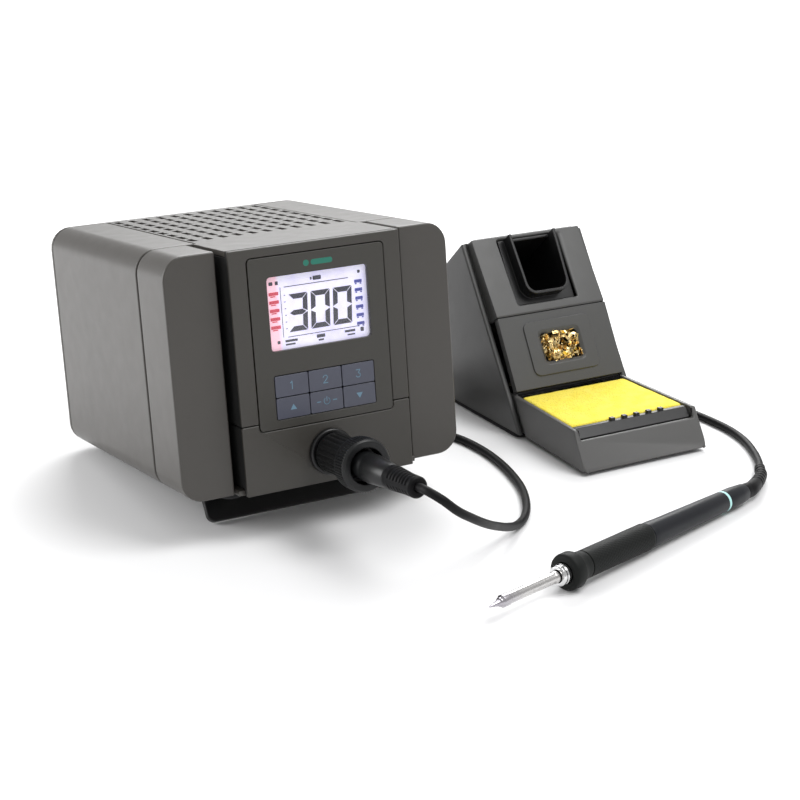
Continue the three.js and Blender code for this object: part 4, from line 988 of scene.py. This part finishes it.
@dataclass
class PowerUnit:
    """The case, its inside, display, keys, rear fittings and the plugged-in connector."""

    body: str = "power_unit"
    display_z: float = 84.8
    lit_face: float = -4.72
    key_face: float = -7.15
    key_width: float = 17.3
    key_height: float = 10.2
    key_split: float = 0.45
    keys_z: float = 44.8
    bars_x: float = -22.5
    bars_top: float = 9.3
    bars_pitch: float = 4.0
    scale_x: float = 22.3
    scale_top: float = 9.6
    scale_pitch: float = 4.1
    figures_left: tuple[float, ...] = (-15.9, -4.1, 7.7)
    figures_drop: float = 9.9
    figure_width: float = 10.0
    figure_height: float = 18.0
    badge_z: float = 107.0
    panel_face: float = -7.04
    pin_face: float = 143.4
    pin_length: float = 11.5
    rocker_at: tuple[float, float, float] = (4, 156.35, 27)
    rocker_tilt: float = 8.0
    rocker_face: float = 5.4
    rocker_half: float = 7.2
    rocker_rise: float = 2.25
    print_height: float = 0.05

    def build(self) -> None:
        """Builds the whole unit."""
        LOG.info("power unit")
        self.case()
        self.inside()
        self.display()
        self.keys()
        self.rear()
        self.connector()

    def case(self) -> None:
        """Carries the case over."""
        for side in ("left", "right"):
            carry(f"side_shell_{side}", SHELL, 0.7)
            carry(f"front_pillar_{side}", SHELL, 0.9)
            carry(f"front_foot_{side}", RUBBER, 0)
            carry(f"rear_foot_{side}", RUBBER, 0)
        carry("vent_cover", SHELL, 0)
        carry("bottom_cover", SHELL, 0.4)
        carry("rear_panel", SHELL, 0.5)
        carry("upper_fascia", Special.FASCIA, 0.6)
        carry("lower_fascia", Special.FASCIA, 0.6)
        carry("control_panel", PANEL, 0.25)
        carry("tilt_bail", BLACK, 0.6)

    def inside(self) -> None:
        """Carries over what shows through the vents."""
        carry("transformer_core", Special.LAMINATE, 0.3)
        carry("transformer_coil", Special.WINDING, 0.6)
        carry("power_board", Special.BOARD, 0)
        carry("control_board", Special.BOARD, 0)
        carry("heat_sink", ALUMINIUM, 0.2)
        carry("key_mat", Special.MAT, 0)
        for i, y in enumerate((78.0, 102.0)):
            lathe(Piece(f"capacitor_{i + 1}", CASE_BLACK, self.body, "board"), UNIT_PLACE
                  @ Matrix.Translation((27, y, 10.7)),
                  [(0, 0), (10.3, 0), (10.3, 2), (9.9, 2.8), (10.3, 3.6), (10.3, 30.3), (9.2, 30.5),
                   (9, 30.2),
                   (0, 30.2)], 40)

    def display(self) -> None:
        """The window and the lit image behind it, with generic signs only."""
        carry("display_window", Special.WINDOW, 0)
        carry("display_module", BLACK, 0.2)
        z = self.display_z
        lit = Piece("display_ground", Special.SCREEN, self.body, "screen")
        marks(lit, UNIT_PLACE, [bar(0, z, 53.4, 35.6, 1.4)], self.lit_face + 0.1, 0.15)
        dark = self.digits() + self.icons()
        marks(Piece("display_digits", Special.INK, self.body, "screen"), UNIT_PLACE, dark, self.lit_face)
        red = []
        for k in range(5):
            level = z + self.bars_top - self.bars_pitch * k
            red += [bar(self.bars_x, level, 5.0, 1.55, 0.2), bar(-22.9, level - 1.3, 2.6, 0.5)]
        marks(Piece("display_bars", Special.RED, self.body, "screen"), UNIT_PLACE, red, self.lit_face)
        blue = []
        for k in range(6):
            level = z + self.scale_top - self.scale_pitch * k
            blue += [bar(self.scale_x, level, 4.0, 1.5, 0.2),
                     *(bar(x, level - 1.2, 0.9, 0.6) for x in (21.0, 23.6))]
        marks(Piece("display_scale", Special.BLUE, self.body, "screen"), UNIT_PLACE, blue, self.lit_face)

    def digits(self) -> list[list[Point2]]:
        """The three large figures.

        Returns:
            Their segments' outlines.
        """
        lit = {"3": "abgcd", "0": "abcdef"}
        made = []
        for figure, left in zip("300", self.figures_left):
            made += self.figure(lit[figure], left, self.display_z - self.figures_drop, self.figure_width,
                                self.figure_height)
        return made

    @staticmethod
    def figure(lit: str, left: float, low: float, width: float, height: float) -> list[list[Point2]]:
        """One seven-segment figure.

        Args:
            lit: Letters of the lit segments.
            left: Its left edge.
            low: Its lower edge.
            width: Its width.
            height: Its height.

        Returns:
            The segments' outlines.
        """
        t, gap, half = 2.45, 0.22, height / 2
        right, top, mid = left + width, low + height, low + half
        edge = gap + t / 2
        shapes = {
            "a": [(left + gap, top), (right - gap, top), (right - gap - t, top - t),
                  (left + gap + t, top - t)],
            "d": [(left + gap, low), (right - gap, low), (right - gap - t, low + t),
                  (left + gap + t, low + t)],
            "b": [(right, top - gap), (right, mid + gap), (right - t, mid + edge),
                  (right - t, top - gap - t)],
            "c": [(right, low + gap), (right, mid - gap), (right - t, mid - edge),
                  (right - t, low + gap + t)],
            "f": [(left, top - gap), (left, mid + gap), (left + t, mid + edge), (left + t, top - gap - t)],
            "e": [(left, low + gap), (left, mid - gap), (left + t, mid - edge), (left + t, low + gap + t)],
            "g": [(left + gap + 0.5, mid), (left + gap + t, mid + t / 2), (right - gap - t, mid + t / 2),
                  (right - gap - 0.5, mid), (right - gap - t, mid - t / 2), (left + gap + t, mid - t / 2)],
        }
        lean = math.tan(math.radians(3))
        return [[(x + (z - low) * lean, z) for x, z in shapes[key]] for key in lit]

    def icons(self) -> list[list[Point2]]:
        """Small generic signs along the display's edges.

        Returns:
            Their outlines.
        """
        z = self.display_z
        made = [bar(0, z + 11.9, 34, 0.35), bar(2.5, z - 12.1, 38, 0.3), bar(-18.9, z, 0.25, 24)]
        made += [bar(0.6, z + 14.2, 4.4, 2.0, 0.4), bar(-2.6, z + 14.2, 0.9, 1.2),
                 bar(-23.6, z + 14.2, 2.0, 1.7, 0.3),
                 bar(-20.6, z + 14.2, 1.5, 1.7, 0.2), bar(-21.6, z - 14.0, 1.5, 1.5, 0.3),
                 bar(-15.0, z - 13.9, 6.4, 1.1), bar(-15.6, z - 15.6, 5.0, 0.8), bar(0.6, z - 13.9, 4.4,
                                                                                     1.6, 0.3),
                 bar(0.6, z - 15.8, 2.8, 0.8), bar(16.2, z - 13.8, 5.6, 1.1), bar(16.8, z - 15.6, 4.0, 0.7),
                 bar(22.8, z - 13.9, 1.8, 2.1, 0.4), bar(22.9, z + 14.2, 1.4, 1.4, 0.2)]
        made += [bar(-16.9, z + 8.0 - 3.2 * k, 0.7, 0.35) for k in range(6)]
        return made

    def keys(self) -> None:
        """Carries the keys over and prints a plain sign on each."""
        signs = [*(stroke(path, LEGEND_WIDTH) for path in FIGURE_PATHS), UP_SIGN, self.power(), DOWN_SIGN]
        for i, sign in enumerate(signs):
            carry(f"key_{i + 1}", KEY, 0.18)
            column, row = i % 3, i // 3
            x = (column - 1) * (self.key_width + self.key_split)
            z = self.keys_z + (0.5 - row) * (self.key_height + self.key_split)
            moved = [[(a + x, b + z) for a, b in outline] for outline in sign]
            marks(Piece(f"legend_{i + 1}", LEGEND, f"key_{i + 1}_body", "key"), UNIT_PLACE, moved,
                  self.key_face - 0.03, 0.1)
        badge = [bar(-5.6, self.badge_z, 3.0, 3.0, 1.45), bar(2.6, self.badge_z, 11.4, 2.6, 1.2)]
        marks(Piece("badge", GREEN, self.body, "panel"), UNIT_PLACE, badge, self.panel_face, 0.1)

    @staticmethod
    def power() -> list[list[Point2]]:
        """An open ring with a bar, between two dashes."""
        ring = [(1.6 * math.sin(a),
        1.6 * math.cos(a)) for a in (0.7 + k * (math.tau - 1.4) / 14 for k in range(15))]
        return [*stroke(ring, LEGEND_WIDTH), *stroke([(0, 0.2), (0, 1.9)], LEGEND_WIDTH),
                *(bar(x, 0, 2.2, 0.5) for x in (-4.3, 4.3))]

    def rear(self) -> None:
        """The inlet, switch, fuse and screws."""
        for node in ("mains_inlet", "switch_frame", "power_rocker"):
            carry(node, BLACK, 0.3)
        carry("fuse_cap", BLACK, 0.2)
        for i in range(4):
            carry(f"case_screw_{i + 1}", ZINC, 0)
        for i, (x, z) in enumerate(((-45.0, 25.5), (-38.0, 29.5), (-31.0, 25.5))):
            pin = [bar(x, z, 2.1, 4.9, 0.4)]
            marks(Piece(f"inlet_pin_{i + 1}", ZINC, self.body, "screw"), UNIT_PLACE, pin, self.pin_face,
                  self.pin_length)
        pivot = UNIT_PLACE @ Matrix.Translation(self.rocker_at) @ turn(self.rocker_tilt, "X")
        ring = [(1.3 * math.cos(a),
        -4.9 + 1.3 * math.sin(a)) for a in (k * math.tau / 12 for k in range(13))]
        self.rocker_marks(pivot, stroke(ring, 0.4), "off")
        self.rocker_marks(pivot, stroke([(0, 3.4), (0, 6.2)], 0.45), "on")

    def rocker_marks(self, pivot: Matrix, signs: list[list[Point2]], word: str) -> None:
        """Prints a sign on the rocker's face.

        Args:
            pivot: The rocker's frame.
            signs: The sign's outlines about the rocker's middle.
            word: Which sign it is.
        """
        verts, faces = [], []
        for outline in signs:
            start = len(verts)
            for x, z in outline:
                out = self.rocker_face + (abs(z) / self.rocker_half) * self.rocker_rise + self.print_height
                verts.append(pivot @ Vector((x, out, z)))
            faces.append(tuple(range(start, start + len(outline))))
        piece = Piece(f"rocker_{word}", WHITE, "rocker", "black")
        piece.build(verts, faces)

    def connector(self) -> None:
        """The iron's socket and the plug screwed to it."""
        flange = [(0, -15), (8.6, -15), (8.6, 0.35), (11.5, 0.35), (11.5, 2.4), (10.9, 3), (9.6, 3),
                  (9.2, 2.6),
                  (8.6, 2.6), (8.3, 3), (8, 3), (8, 13), (6.4, 13), (6.4, -10), (0, -10)]
        lathe(Piece("socket_body", BLACK, self.body, "socket", ("iron_socket",)), SOCKET_PLACE, flange, 96)
        sleeve = [(8.35, 4), (9.5, 4), (10, 4.5), (10, 26), (12.8, 28.8), (13, 30), (13, 36.8), (11.8, 38),
                  (8.8, 38),
                  (8.8, 31), (7.35, 31), (7.35, 14), (8.35, 14), (8.35, 4)]
        ridges = ribs(22, 0.55, 5.5, 25.0, 1.5)
        knurl = ribs(60, 0.5, 29.6, 37.2, 0.6)
        lathe(Piece("lock_ring", PLUG, "lock_ring", "plug", ("plug_lock_ring",)), SOCKET_PLACE, sleeve, 240,
              0.3,
              lambda h, a: ridges(h, a) + knurl(h, a) if h > 4.6 else 0.0, 1.0)
        tail = [(0, -8), (6.05, -8), (6.05, 13.6), (7, 13.6), (7, 40), (6.7, 41), (6.7, 43.5), (7.05, 44.5),
                (5.75, 61.6), (5.4, 62.2), (0, 62.2)]
        lathe(Piece("plug_tail", PLUG, self.body, "plug", ("plug_body",)), SOCKET_PLACE, tail, 72, 0.3)
        boot = [(0, 62.0), (5.5, 62.0), (5.8, 62.6), (5.8, 66), (5.1, 78), (5.1, 85.2), (4.3, 86),
                (2.2, 86), (2.2, 82),
                (0, 82)]
        grooves = rings(2.6, 0.7, 66.5, 84.5, 0.42)
        lathe(Piece("plug_gland", CABLE, self.body, "cord", ("plug_boot",)), SOCKET_PLACE, boot, 56, 0.25,
              lambda h, a: grooves(h, a) * (1.0 if abs(math.sin(a)) > 0.3 else 0.0), 0.4)


# ---------------------------------------------------------------- stand


@dataclass
class Stand:
    """The iron's stand: housing, holder, brass turnings, sponge tray."""

    body: str = "stand"
    face: float = 59.39
    top_v: float = 88.86
    top_z: float = 60.93
    wool_way: float = 20.5
    wool_width: float = 22.0
    wool_height: float = 14.5
    wool_front: float = -1.6
    turnings: int = 130
    sponge_front: float = 13.9
    sponge_rear: float = 65.3
    sponge_low: float = 5.35
    sponge_high: float = 21.9
    sponge_half_rear: float = 34.3
    sponge_half_front: float = 36.6

    def build(self) -> None:
        """Builds the stand."""
        LOG.info("stand")
        carry("stand_housing", STAND, 1.0)
        carry("stand_front_cover", STAND, 0.35)
        carry("iron_holder", BLACK, 0.45)
        carry("stand_base", RUBBER, 0.3)
        carry("sponge_tray", TRAY_GREY, 0.8)
        carry("wiping_comb", BLACK, 0.35)
        self.wool()
        self.sponge()

    def wool(self) -> None:
        """Curled brass turnings behind the window, about a dark block painted as the shade in their middle.
        """
        rng = random.Random(11)
        place = (STAND_PLACE @ Matrix.Translation((0, self.top_v, self.top_z)) @ turn(self.face, "X")
                 @ Matrix.Translation((0, -self.wool_way, 0)))
        verts, faces = [], []
        for _ in range(self.turnings):
            centre = Vector((rng.uniform(-0.5, 0.5) * self.wool_width,
                             rng.uniform(-0.5, 0.5) * self.wool_height,
                             self.wool_front - abs(rng.gauss(0, 3.6))))
            axis = Vector((rng.gauss(0, 1), rng.gauss(0, 1), rng.gauss(0, 0.5))).normalized()
            side = axis.orthogonal().normalized()
            other = axis.cross(side)
            radius, rise = rng.uniform(1.3, 3.4), rng.uniform(0.5, 1.6)
            turns, phase = rng.uniform(0.7, 2.1), rng.uniform(0, math.tau)
            count = int(10 + turns * 11)
            path = []
            for k in range(count):
                a = phase + math.tau * turns * k / (count - 1)
                point = (centre + side * (radius * math.cos(a)) + other * (radius * math.sin(a))
                         + axis * (rise * (a - phase) - rise * turns * 3))
                point.z = min(point.z, 0.6)
                reach = Vector((11.6, 7.6)) if point.z > -7.4 else Vector((15.0, 11.0))
                point.x = max(-reach.x, min(reach.x, point.x))
                point.y = max(-reach.y, min(reach.y, point.y))
                path.append(place @ point)
            width = rng.uniform(0.5, 1.05) * MM
            strip = [(width, 0.06 * MM), (-width, 0.09 * MM), (-width, -0.06 * MM), (width, -0.09 * MM)]
            some, quads = sweep(path, strip)
            start = len(verts)
            verts += some
            faces += [tuple(start + i for i in quad) for quad in quads]
        Piece("brass_turnings", Special.BRASS, self.body, "wool", ("brass_wool",)).build(verts, faces, 50)
        # Painted shade: a dark block stands for the shade deep inside the turnings.
        core = rounded_block(Vector((-14.5, -10.5, -22)), Vector((14.5, 10.5, -6.9)), 3.0, 1.4, 0.7)
        Piece("brass_core", Special.WAD, self.body, "wool").build([place @ p for p in core[0]], core[1], 60)

    def sponge(self) -> None:
        """The foam pad in the tray."""
        low = Vector((-self.sponge_half_front, self.sponge_front, self.sponge_low))
        high = Vector((self.sponge_half_front, self.sponge_rear, self.sponge_high))
        verts, faces = rounded_block(low, high, 1.6, 1.1, 0.22)
        narrower = 1 - self.sponge_half_rear / self.sponge_half_front
        for p in verts:
            p.x *= 1 - narrower * (p.y - self.sponge_front) / (self.sponge_rear - self.sponge_front)
        pad = Piece("sponge_pad", Special.FOAM, "sponge_pad", "sponge", ("sponge",))
        pad.build([STAND_PLACE @ p for p in verts], faces, 60)


def rounded_block(low: Vector, high: Vector, radius: float, step: float, rough: float
                  ) -> tuple[list[Vector], list[tuple[int, ...]]]:
    """A block with round edges and a slightly uneven skin.

    Args:
        low: Its lowest corner.
        high: Its highest corner.
        radius: Its edges.
        step: Distance between its points.
        rough: Height of the unevenness.

    Returns:
        Points and faces.
    """
    size, middle = high - low, (high + low) / 2
    verts, faces = [], []
    for axis in range(3):
        u, v = [k for k in range(3) if k != axis]
        nu, nv = (max(4, round(size[k] / step)) for k in (u, v))
        for sign in (-1, 1):
            start = len(verts)
            for i in range(nu + 1):
                for j in range(nv + 1):
                    point = Vector((0, 0, 0))
                    point[axis] = sign * size[axis] / 2
                    point[u] = (i / nu - 0.5) * size[u]
                    point[v] = (j / nv - 0.5) * size[v]
                    inner = Vector([max(-size[k] / 2 + radius, min(size[k] / 2 - radius, point[k]))
                                    for k in range(3)])
                    out = (point - inner).normalized()
                    skin = inner + out * radius
                    uneven = noise.noise(skin * 0.35) * 0.6 + noise.noise(skin * 1.1) * 0.4
                    verts.append(middle + skin + out * (rough * uneven))
            for i in range(nu):
                for j in range(nv):
                    a = start + i * (nv + 1) + j
                    faces.append((a, a + 1, a + nv + 2, a + nv + 1))
    return verts, faces


# ---------------------------------------------------------------- iron


@dataclass
class Iron:
    """The iron from its tip to the bent boot at its rear end."""

    body: str = "iron"
    tip: float = -52.7
    grip_start: float = 12.4
    grip_end: float = 59.4
    grip_radius: float = 6.7
    cap_end: float = 142.0

    def build(self) -> None:
        """Builds the iron."""
        LOG.info("iron")
        self.metal()
        self.handle()
        self.boot()

    def metal(self) -> None:
        """The heater cartridge and the ferrule it slides through."""
        shaft = [(0, self.tip), (0.28, self.tip + 0.15), (0.42, self.tip + 0.6), (1.55, -46.6), (2.1, -46),
                 (2.15, -45.4),
                 (2.9, -44.4), (2.9, -40.6), (2.65, -40.2), (2.65, -9.4), (2.9, -9), (2.9, -7.6), (2.65,
                                                                                                   -7.2),
                 (2.65, 40), (0, 40)]
        lathe(Piece("cartridge", Special.STEEL, "cartridge", "tip", ("tip_cartridge",)), IRON_TURNED, shaft,
              64, 0.12)
        ferrule = [(3.25, -6.6), (4.4, -6.6), (4.9, -6), (4.9, -4.6), (4.6, -4.3), (4.6, -3.9), (4.9, -3.6),
                   (4.9, 8),
                   (3.25, 8), (3.25, -6.6)]
        lathe(Piece("ferrule", CHROME, self.body, "ferrule", ("nose_ferrule",)), IRON_TURNED, ferrule, 72,
              0.15)

    def handle(self) -> None:
        """The collar, grip, barrel, band and cap."""
        collar = [(5.25, -1.6), (7.4, -1.6), (8.5, -0.8), (8.8, 0.4), (8.8, 4.2), (8.3, 5.4), (7.3, 7.4),
                  (6.9, 9.4),
                  (6.7, 12.1), (5.5, 12.1), (5.5, 9), (5.25, 9), (5.25, -1.6)]
        lathe(Piece("collar", GRIP, self.body, "grip", ("nose_collar",)), IRON_TURNED, collar, 96, 0.5)
        start, end, r = self.grip_start, self.grip_end, self.grip_radius
        sleeve = [(5.5, start), (r, start), (r, end - 1), (r - 0.3, end), (5.5, end), (5.5, start)]
        lathe(Piece("grip", GRIP, self.body, "grip", ("grip_sleeve",)), IRON_TURNED, sleeve, 192, 0.3,
              self.dimples, 0.45)
        barrel = [(3.4, 9.35), (5.1, 9.35), (5.1, 59.7), (6.3, 59.75), (6.35, 64), (6.1, 70), (5.3, 122.6),
                  (0, 122.6),
                  (0, 50), (3.4, 50), (3.4, 9.35)]
        lathe(Piece("barrel", HANDLE, self.body, "handle", ("handle_barrel",)), IRON_TURNED, barrel, 96,
              0.25)
        band = [(0, 122.6), (5.15, 122.6), (5.3, 122.9), (5.3, 124.1), (5.15, 124.4), (0, 124.4)]
        lathe(Piece("band", BAND, self.body, "band", ("handle_band",)), IRON_TURNED, band, 72, 0.05)
        cap = [(0, 124.4), (5.3, 124.4), (5.3, 131.4), (5.0, 135.5), (4.6, 141.2), (4.2, self.cap_end),
               (0, self.cap_end)]
        lathe(Piece("cap", HANDLE, self.body, "handle", ("handle_cap",)), IRON_TURNED, cap, 72, 0.25)

    def dimples(self, h: float, angle: float) -> float:
        """Rows of small hollows over the grip.

        Args:
            h: Place along the grip.
            angle: Place round it.

        Returns:
            Added radius.
        """
        if not self.grip_start + 2.5 < h < self.grip_end - 3.0:
            return 0.0
        row = (h - self.grip_start) / 1.5
        shift = math.pi / 24 if int(row) % 2 else 0.0
        return -0.16 * max(0.0, math.cos(24 * (angle + shift))) * (0.5 - 0.5 * math.cos(math.tau * row))

    def boot(self) -> None:
        """The bent boot that joins the cord to the iron."""
        along = [IRON_PLACE @ Vector((x, 0, 0)) for x in (self.cap_end - 1.5, self.cap_end + 3,
                                                          self.cap_end + 7)]
        end = [BENCH_PLACE @ Vector(p) for p in ((222.2, -59.8, 3.5), (226.3, -54.0, 3.15),
                                                 (229.2, -50.4, 2.9))]
        path = smooth_path([*along, *end], 0.45 * MM)

        def size(t: float) -> float:
            """Radius in millimetres along the boot, with grooves towards the cord."""
            radius = 4.15 - 1.35 * t
            return radius - (0.35 if 0.35 < t < 0.93 and (t * 11) % 1.0 < 0.4 else 0.0)

        verts, faces = sweep(path, circle(MM, 32), size)
        Piece("iron_boot", CABLE, self.body, "cord", ("cord_boot",)).build(verts, faces, 30)


# ---------------------------------------------------------------- cord


@dataclass
class Cord:
    """The free cord from the plug's boot to the iron's, coiled behind the power unit. Metres."""

    diameter: float = 0.0042
    length: float = 1.28
    coil: tuple[float, float] = (0.107, 0.127)
    entry_radius: float = 0.0319
    exit_radius: float = 0.0309
    entry_angle: float = -122.0
    travel: float = 1580.5
    coil_step: float = 12.0

    FROM_PLUG = (
        (0, -0.0892, 0.0514), (0.0003, -0.096, 0.052), (0.0046, -0.102, 0.049), (0.012, -0.102, 0.0425),
        (0.024, -0.0965, 0.034), (0.038, -0.086, 0.0245), (0.052, -0.073, 0.0155), (0.065, -0.0615, 0.008),
        (0.076, -0.0525, 0.0032), (0.084, -0.046, 0.0021), (0.091, -0.038, 0.0021), (0.098, -0.027, 0.0021),
        (0.1045, -0.014, 0.0021), (0.110, 0.002, 0.0021), (0.1145, 0.022, 0.0021), (0.1165, 0.044, 0.0021),
        (0.1145, 0.066, 0.0021), (0.108, 0.082, 0.0021), (0.099, 0.092, 0.0021), (0.090, 0.100, 0.0021),
    )
    TO_IRON = (
        (0.103, 0.1576, 0.0021), (0.122, 0.1596, 0.0021), (0.142, 0.161, 0.0021), (0.168, 0.163, 0.0021),
        (0.194, 0.163, 0.0021), (0.218, 0.158, 0.0021), (0.236, 0.146, 0.0021), (0.244, 0.128, 0.0021),
        (0.2475, 0.106, 0.0021), (0.249, 0.082, 0.0021), (0.2503, 0.058, 0.0021), (0.252, 0.038, 0.0021),
        (0.2534, 0.020, 0.0021), (0.253, 0.003, 0.0021), (0.2492, -0.014, 0.0021), (0.2423, -0.030, 0.0021),
        (0.234, -0.044, 0.0025), (0.226, -0.0545, 0.0031),
    )

    def turns(self) -> list[Vector]:
        """Points of the hidden coil: two turns below, two above.

        Returns:
            The points in the bench frame.
        """
        outer, inner, low, high = 0.0252, 0.0210, 0.0021, 0.0063
        made = []
        for k in range(1, round(self.travel / self.coil_step)):
            way = k * self.coil_step
            radius = ease(way, 0, 100, self.entry_radius, outer)
            radius += ease(way, 370, 460, 0, inner - outer) + ease(way, 1090, 1180, 0, outer - inner)
            radius += ease(way, 1440, 1550, 0, self.exit_radius - outer)
            height = ease(way, 750, 820, low, high) - ease(way, 1520, 1580, 0, high - low)
            angle = math.radians(self.entry_angle - way)
            made.append(Vector((self.coil[0] + radius * math.cos(angle),
                                self.coil[1] + radius * math.sin(angle),
                                height)))
        return made

    def build(self) -> None:
        """Builds the cord as one tube."""
        LOG.info("cord")
        points = [*self.FROM_PLUG, *self.turns(), *self.TO_IRON]
        origin = BENCH_PLACE.translation
        path = [p + origin for p in smooth_path(points, 0.002)]
        verts, faces = sweep(path, circle(self.diameter / 2, 16))
        nodes = ("cord_from_plug", "cord_coil", "cord_to_iron")
        cord = Piece("iron_cord", CABLE, "power_unit", "cord", nodes).build(verts, faces, 60, ride=False)
        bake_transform(cord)


def ease(at: float, start: float, end: float, a: float, b: float) -> float:
    """A value that goes smoothly from a to b between two places.

    Args:
        at: Where it is read.
        start: Where it leaves a.
        end: Where it reaches b.
        a: First value.
        b: Last value.

    Returns:
        The value.
    """
    t = max(0.0, min(1.0, (at - start) / (end - start)))
    return a + (b - a) * t * t * (3 - 2 * t)


# ---------------------------------------------------------------- studio


@dataclass
class Studio:
    """Camera, floor and lights."""

    camera_at: tuple[float, float, float] = (-368.5, -731.2, 354.2)
    look: tuple[float, float, float] = (0.4601, 0.8228, -0.3336)
    lens: float = 81.4
    floor_reach: float = 9.0
    floor_drop: float = 0.0002
    sky: float = 0.60
    lights: tuple[tuple[str, tuple[float, float, float], float, float], ...] = (
        ("behind", (0.85, 1.45, 1.25), 1.3, 36.0),
        ("left", (-1.35, 0.75, 0.50), 0.9, 17.0),
        ("above", (0.55, -0.60, 1.45), 0.9, 17.0),
    )

    def camera(self) -> None:
        """Sets the camera up."""
        data = bpy.data.cameras.new("camera")
        data.lens = self.lens
        data.sensor_width = 36.0
        data.clip_start, data.clip_end = 0.05, 50.0
        camera = bpy.data.objects.new("camera", data)
        bpy.context.scene.collection.objects.link(camera)
        camera.rotation_mode = "QUATERNION"
        camera.location = BENCH_PLACE @ Vector(self.camera_at)
        camera.rotation_quaternion = Vector(self.look).to_track_quat("-Z", "Y")
        bpy.context.scene.camera = camera

    def surroundings(self) -> None:
        """Lays the floor and hangs the lights."""
        mesh = bpy.data.meshes.new("floor")
        side = self.floor_reach
        corners = [(-side, -side, 0), (side, -side, 0), (side, side, 0), (-side, side, 0)]
        mesh.from_pydata(corners, [], [(0, 1, 2, 3)])
        floor = bpy.data.objects.new("floor", mesh)
        g = Graph("floor_paper")
        mesh.materials.append(g.shade(Base_Color=(0.86, 0.86, 0.865), Roughness=0.75))
        bpy.context.scene.collection.objects.link(floor)
        floor.location.z = -self.floor_drop
        world = bpy.data.worlds.new("surroundings")
        world.use_nodes = True
        colour, strength = world.node_tree.nodes["Background"].inputs[:2]
        colour.default_value = (1.0, 1.0, 1.0, 1.0)
        strength.default_value = self.sky
        bpy.context.scene.world = world
        bpy.context.scene.view_settings.view_transform = "Standard"
        for name, at, size, watts in self.lights:
            self.light(name, at, size, watts)

    @staticmethod
    def light(name: str, at: tuple[float, float, float], size: float, watts: float) -> None:
        """Hangs a soft light aimed at the middle.

        Args:
            name: Its name.
            at: Where it hangs, in metres.
            size: Its side, in metres.
            watts: Its power.
        """
        data = bpy.data.lights.new(name, "AREA")
        data.shape = "SQUARE"
        data.size = size
        data.energy = watts
        lamp = bpy.data.objects.new(name, data)
        bpy.context.scene.collection.objects.link(lamp)
        lamp.location = at
        lamp.rotation_mode = "QUATERNION"
        lamp.rotation_quaternion = (Vector((0, 0, 0.05)) - Vector(at)).to_track_quat("-Z", "Y")


def main() -> None:
    """Builds everything."""
    logging.basicConfig(level=logging.INFO)
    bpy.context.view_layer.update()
    studio = Studio()
    studio.camera()
    Cord().build()
    PowerUnit().build()
    Stand().build()
    Iron().build()
    studio.surroundings()


if __name__ == "__main__":
    main()
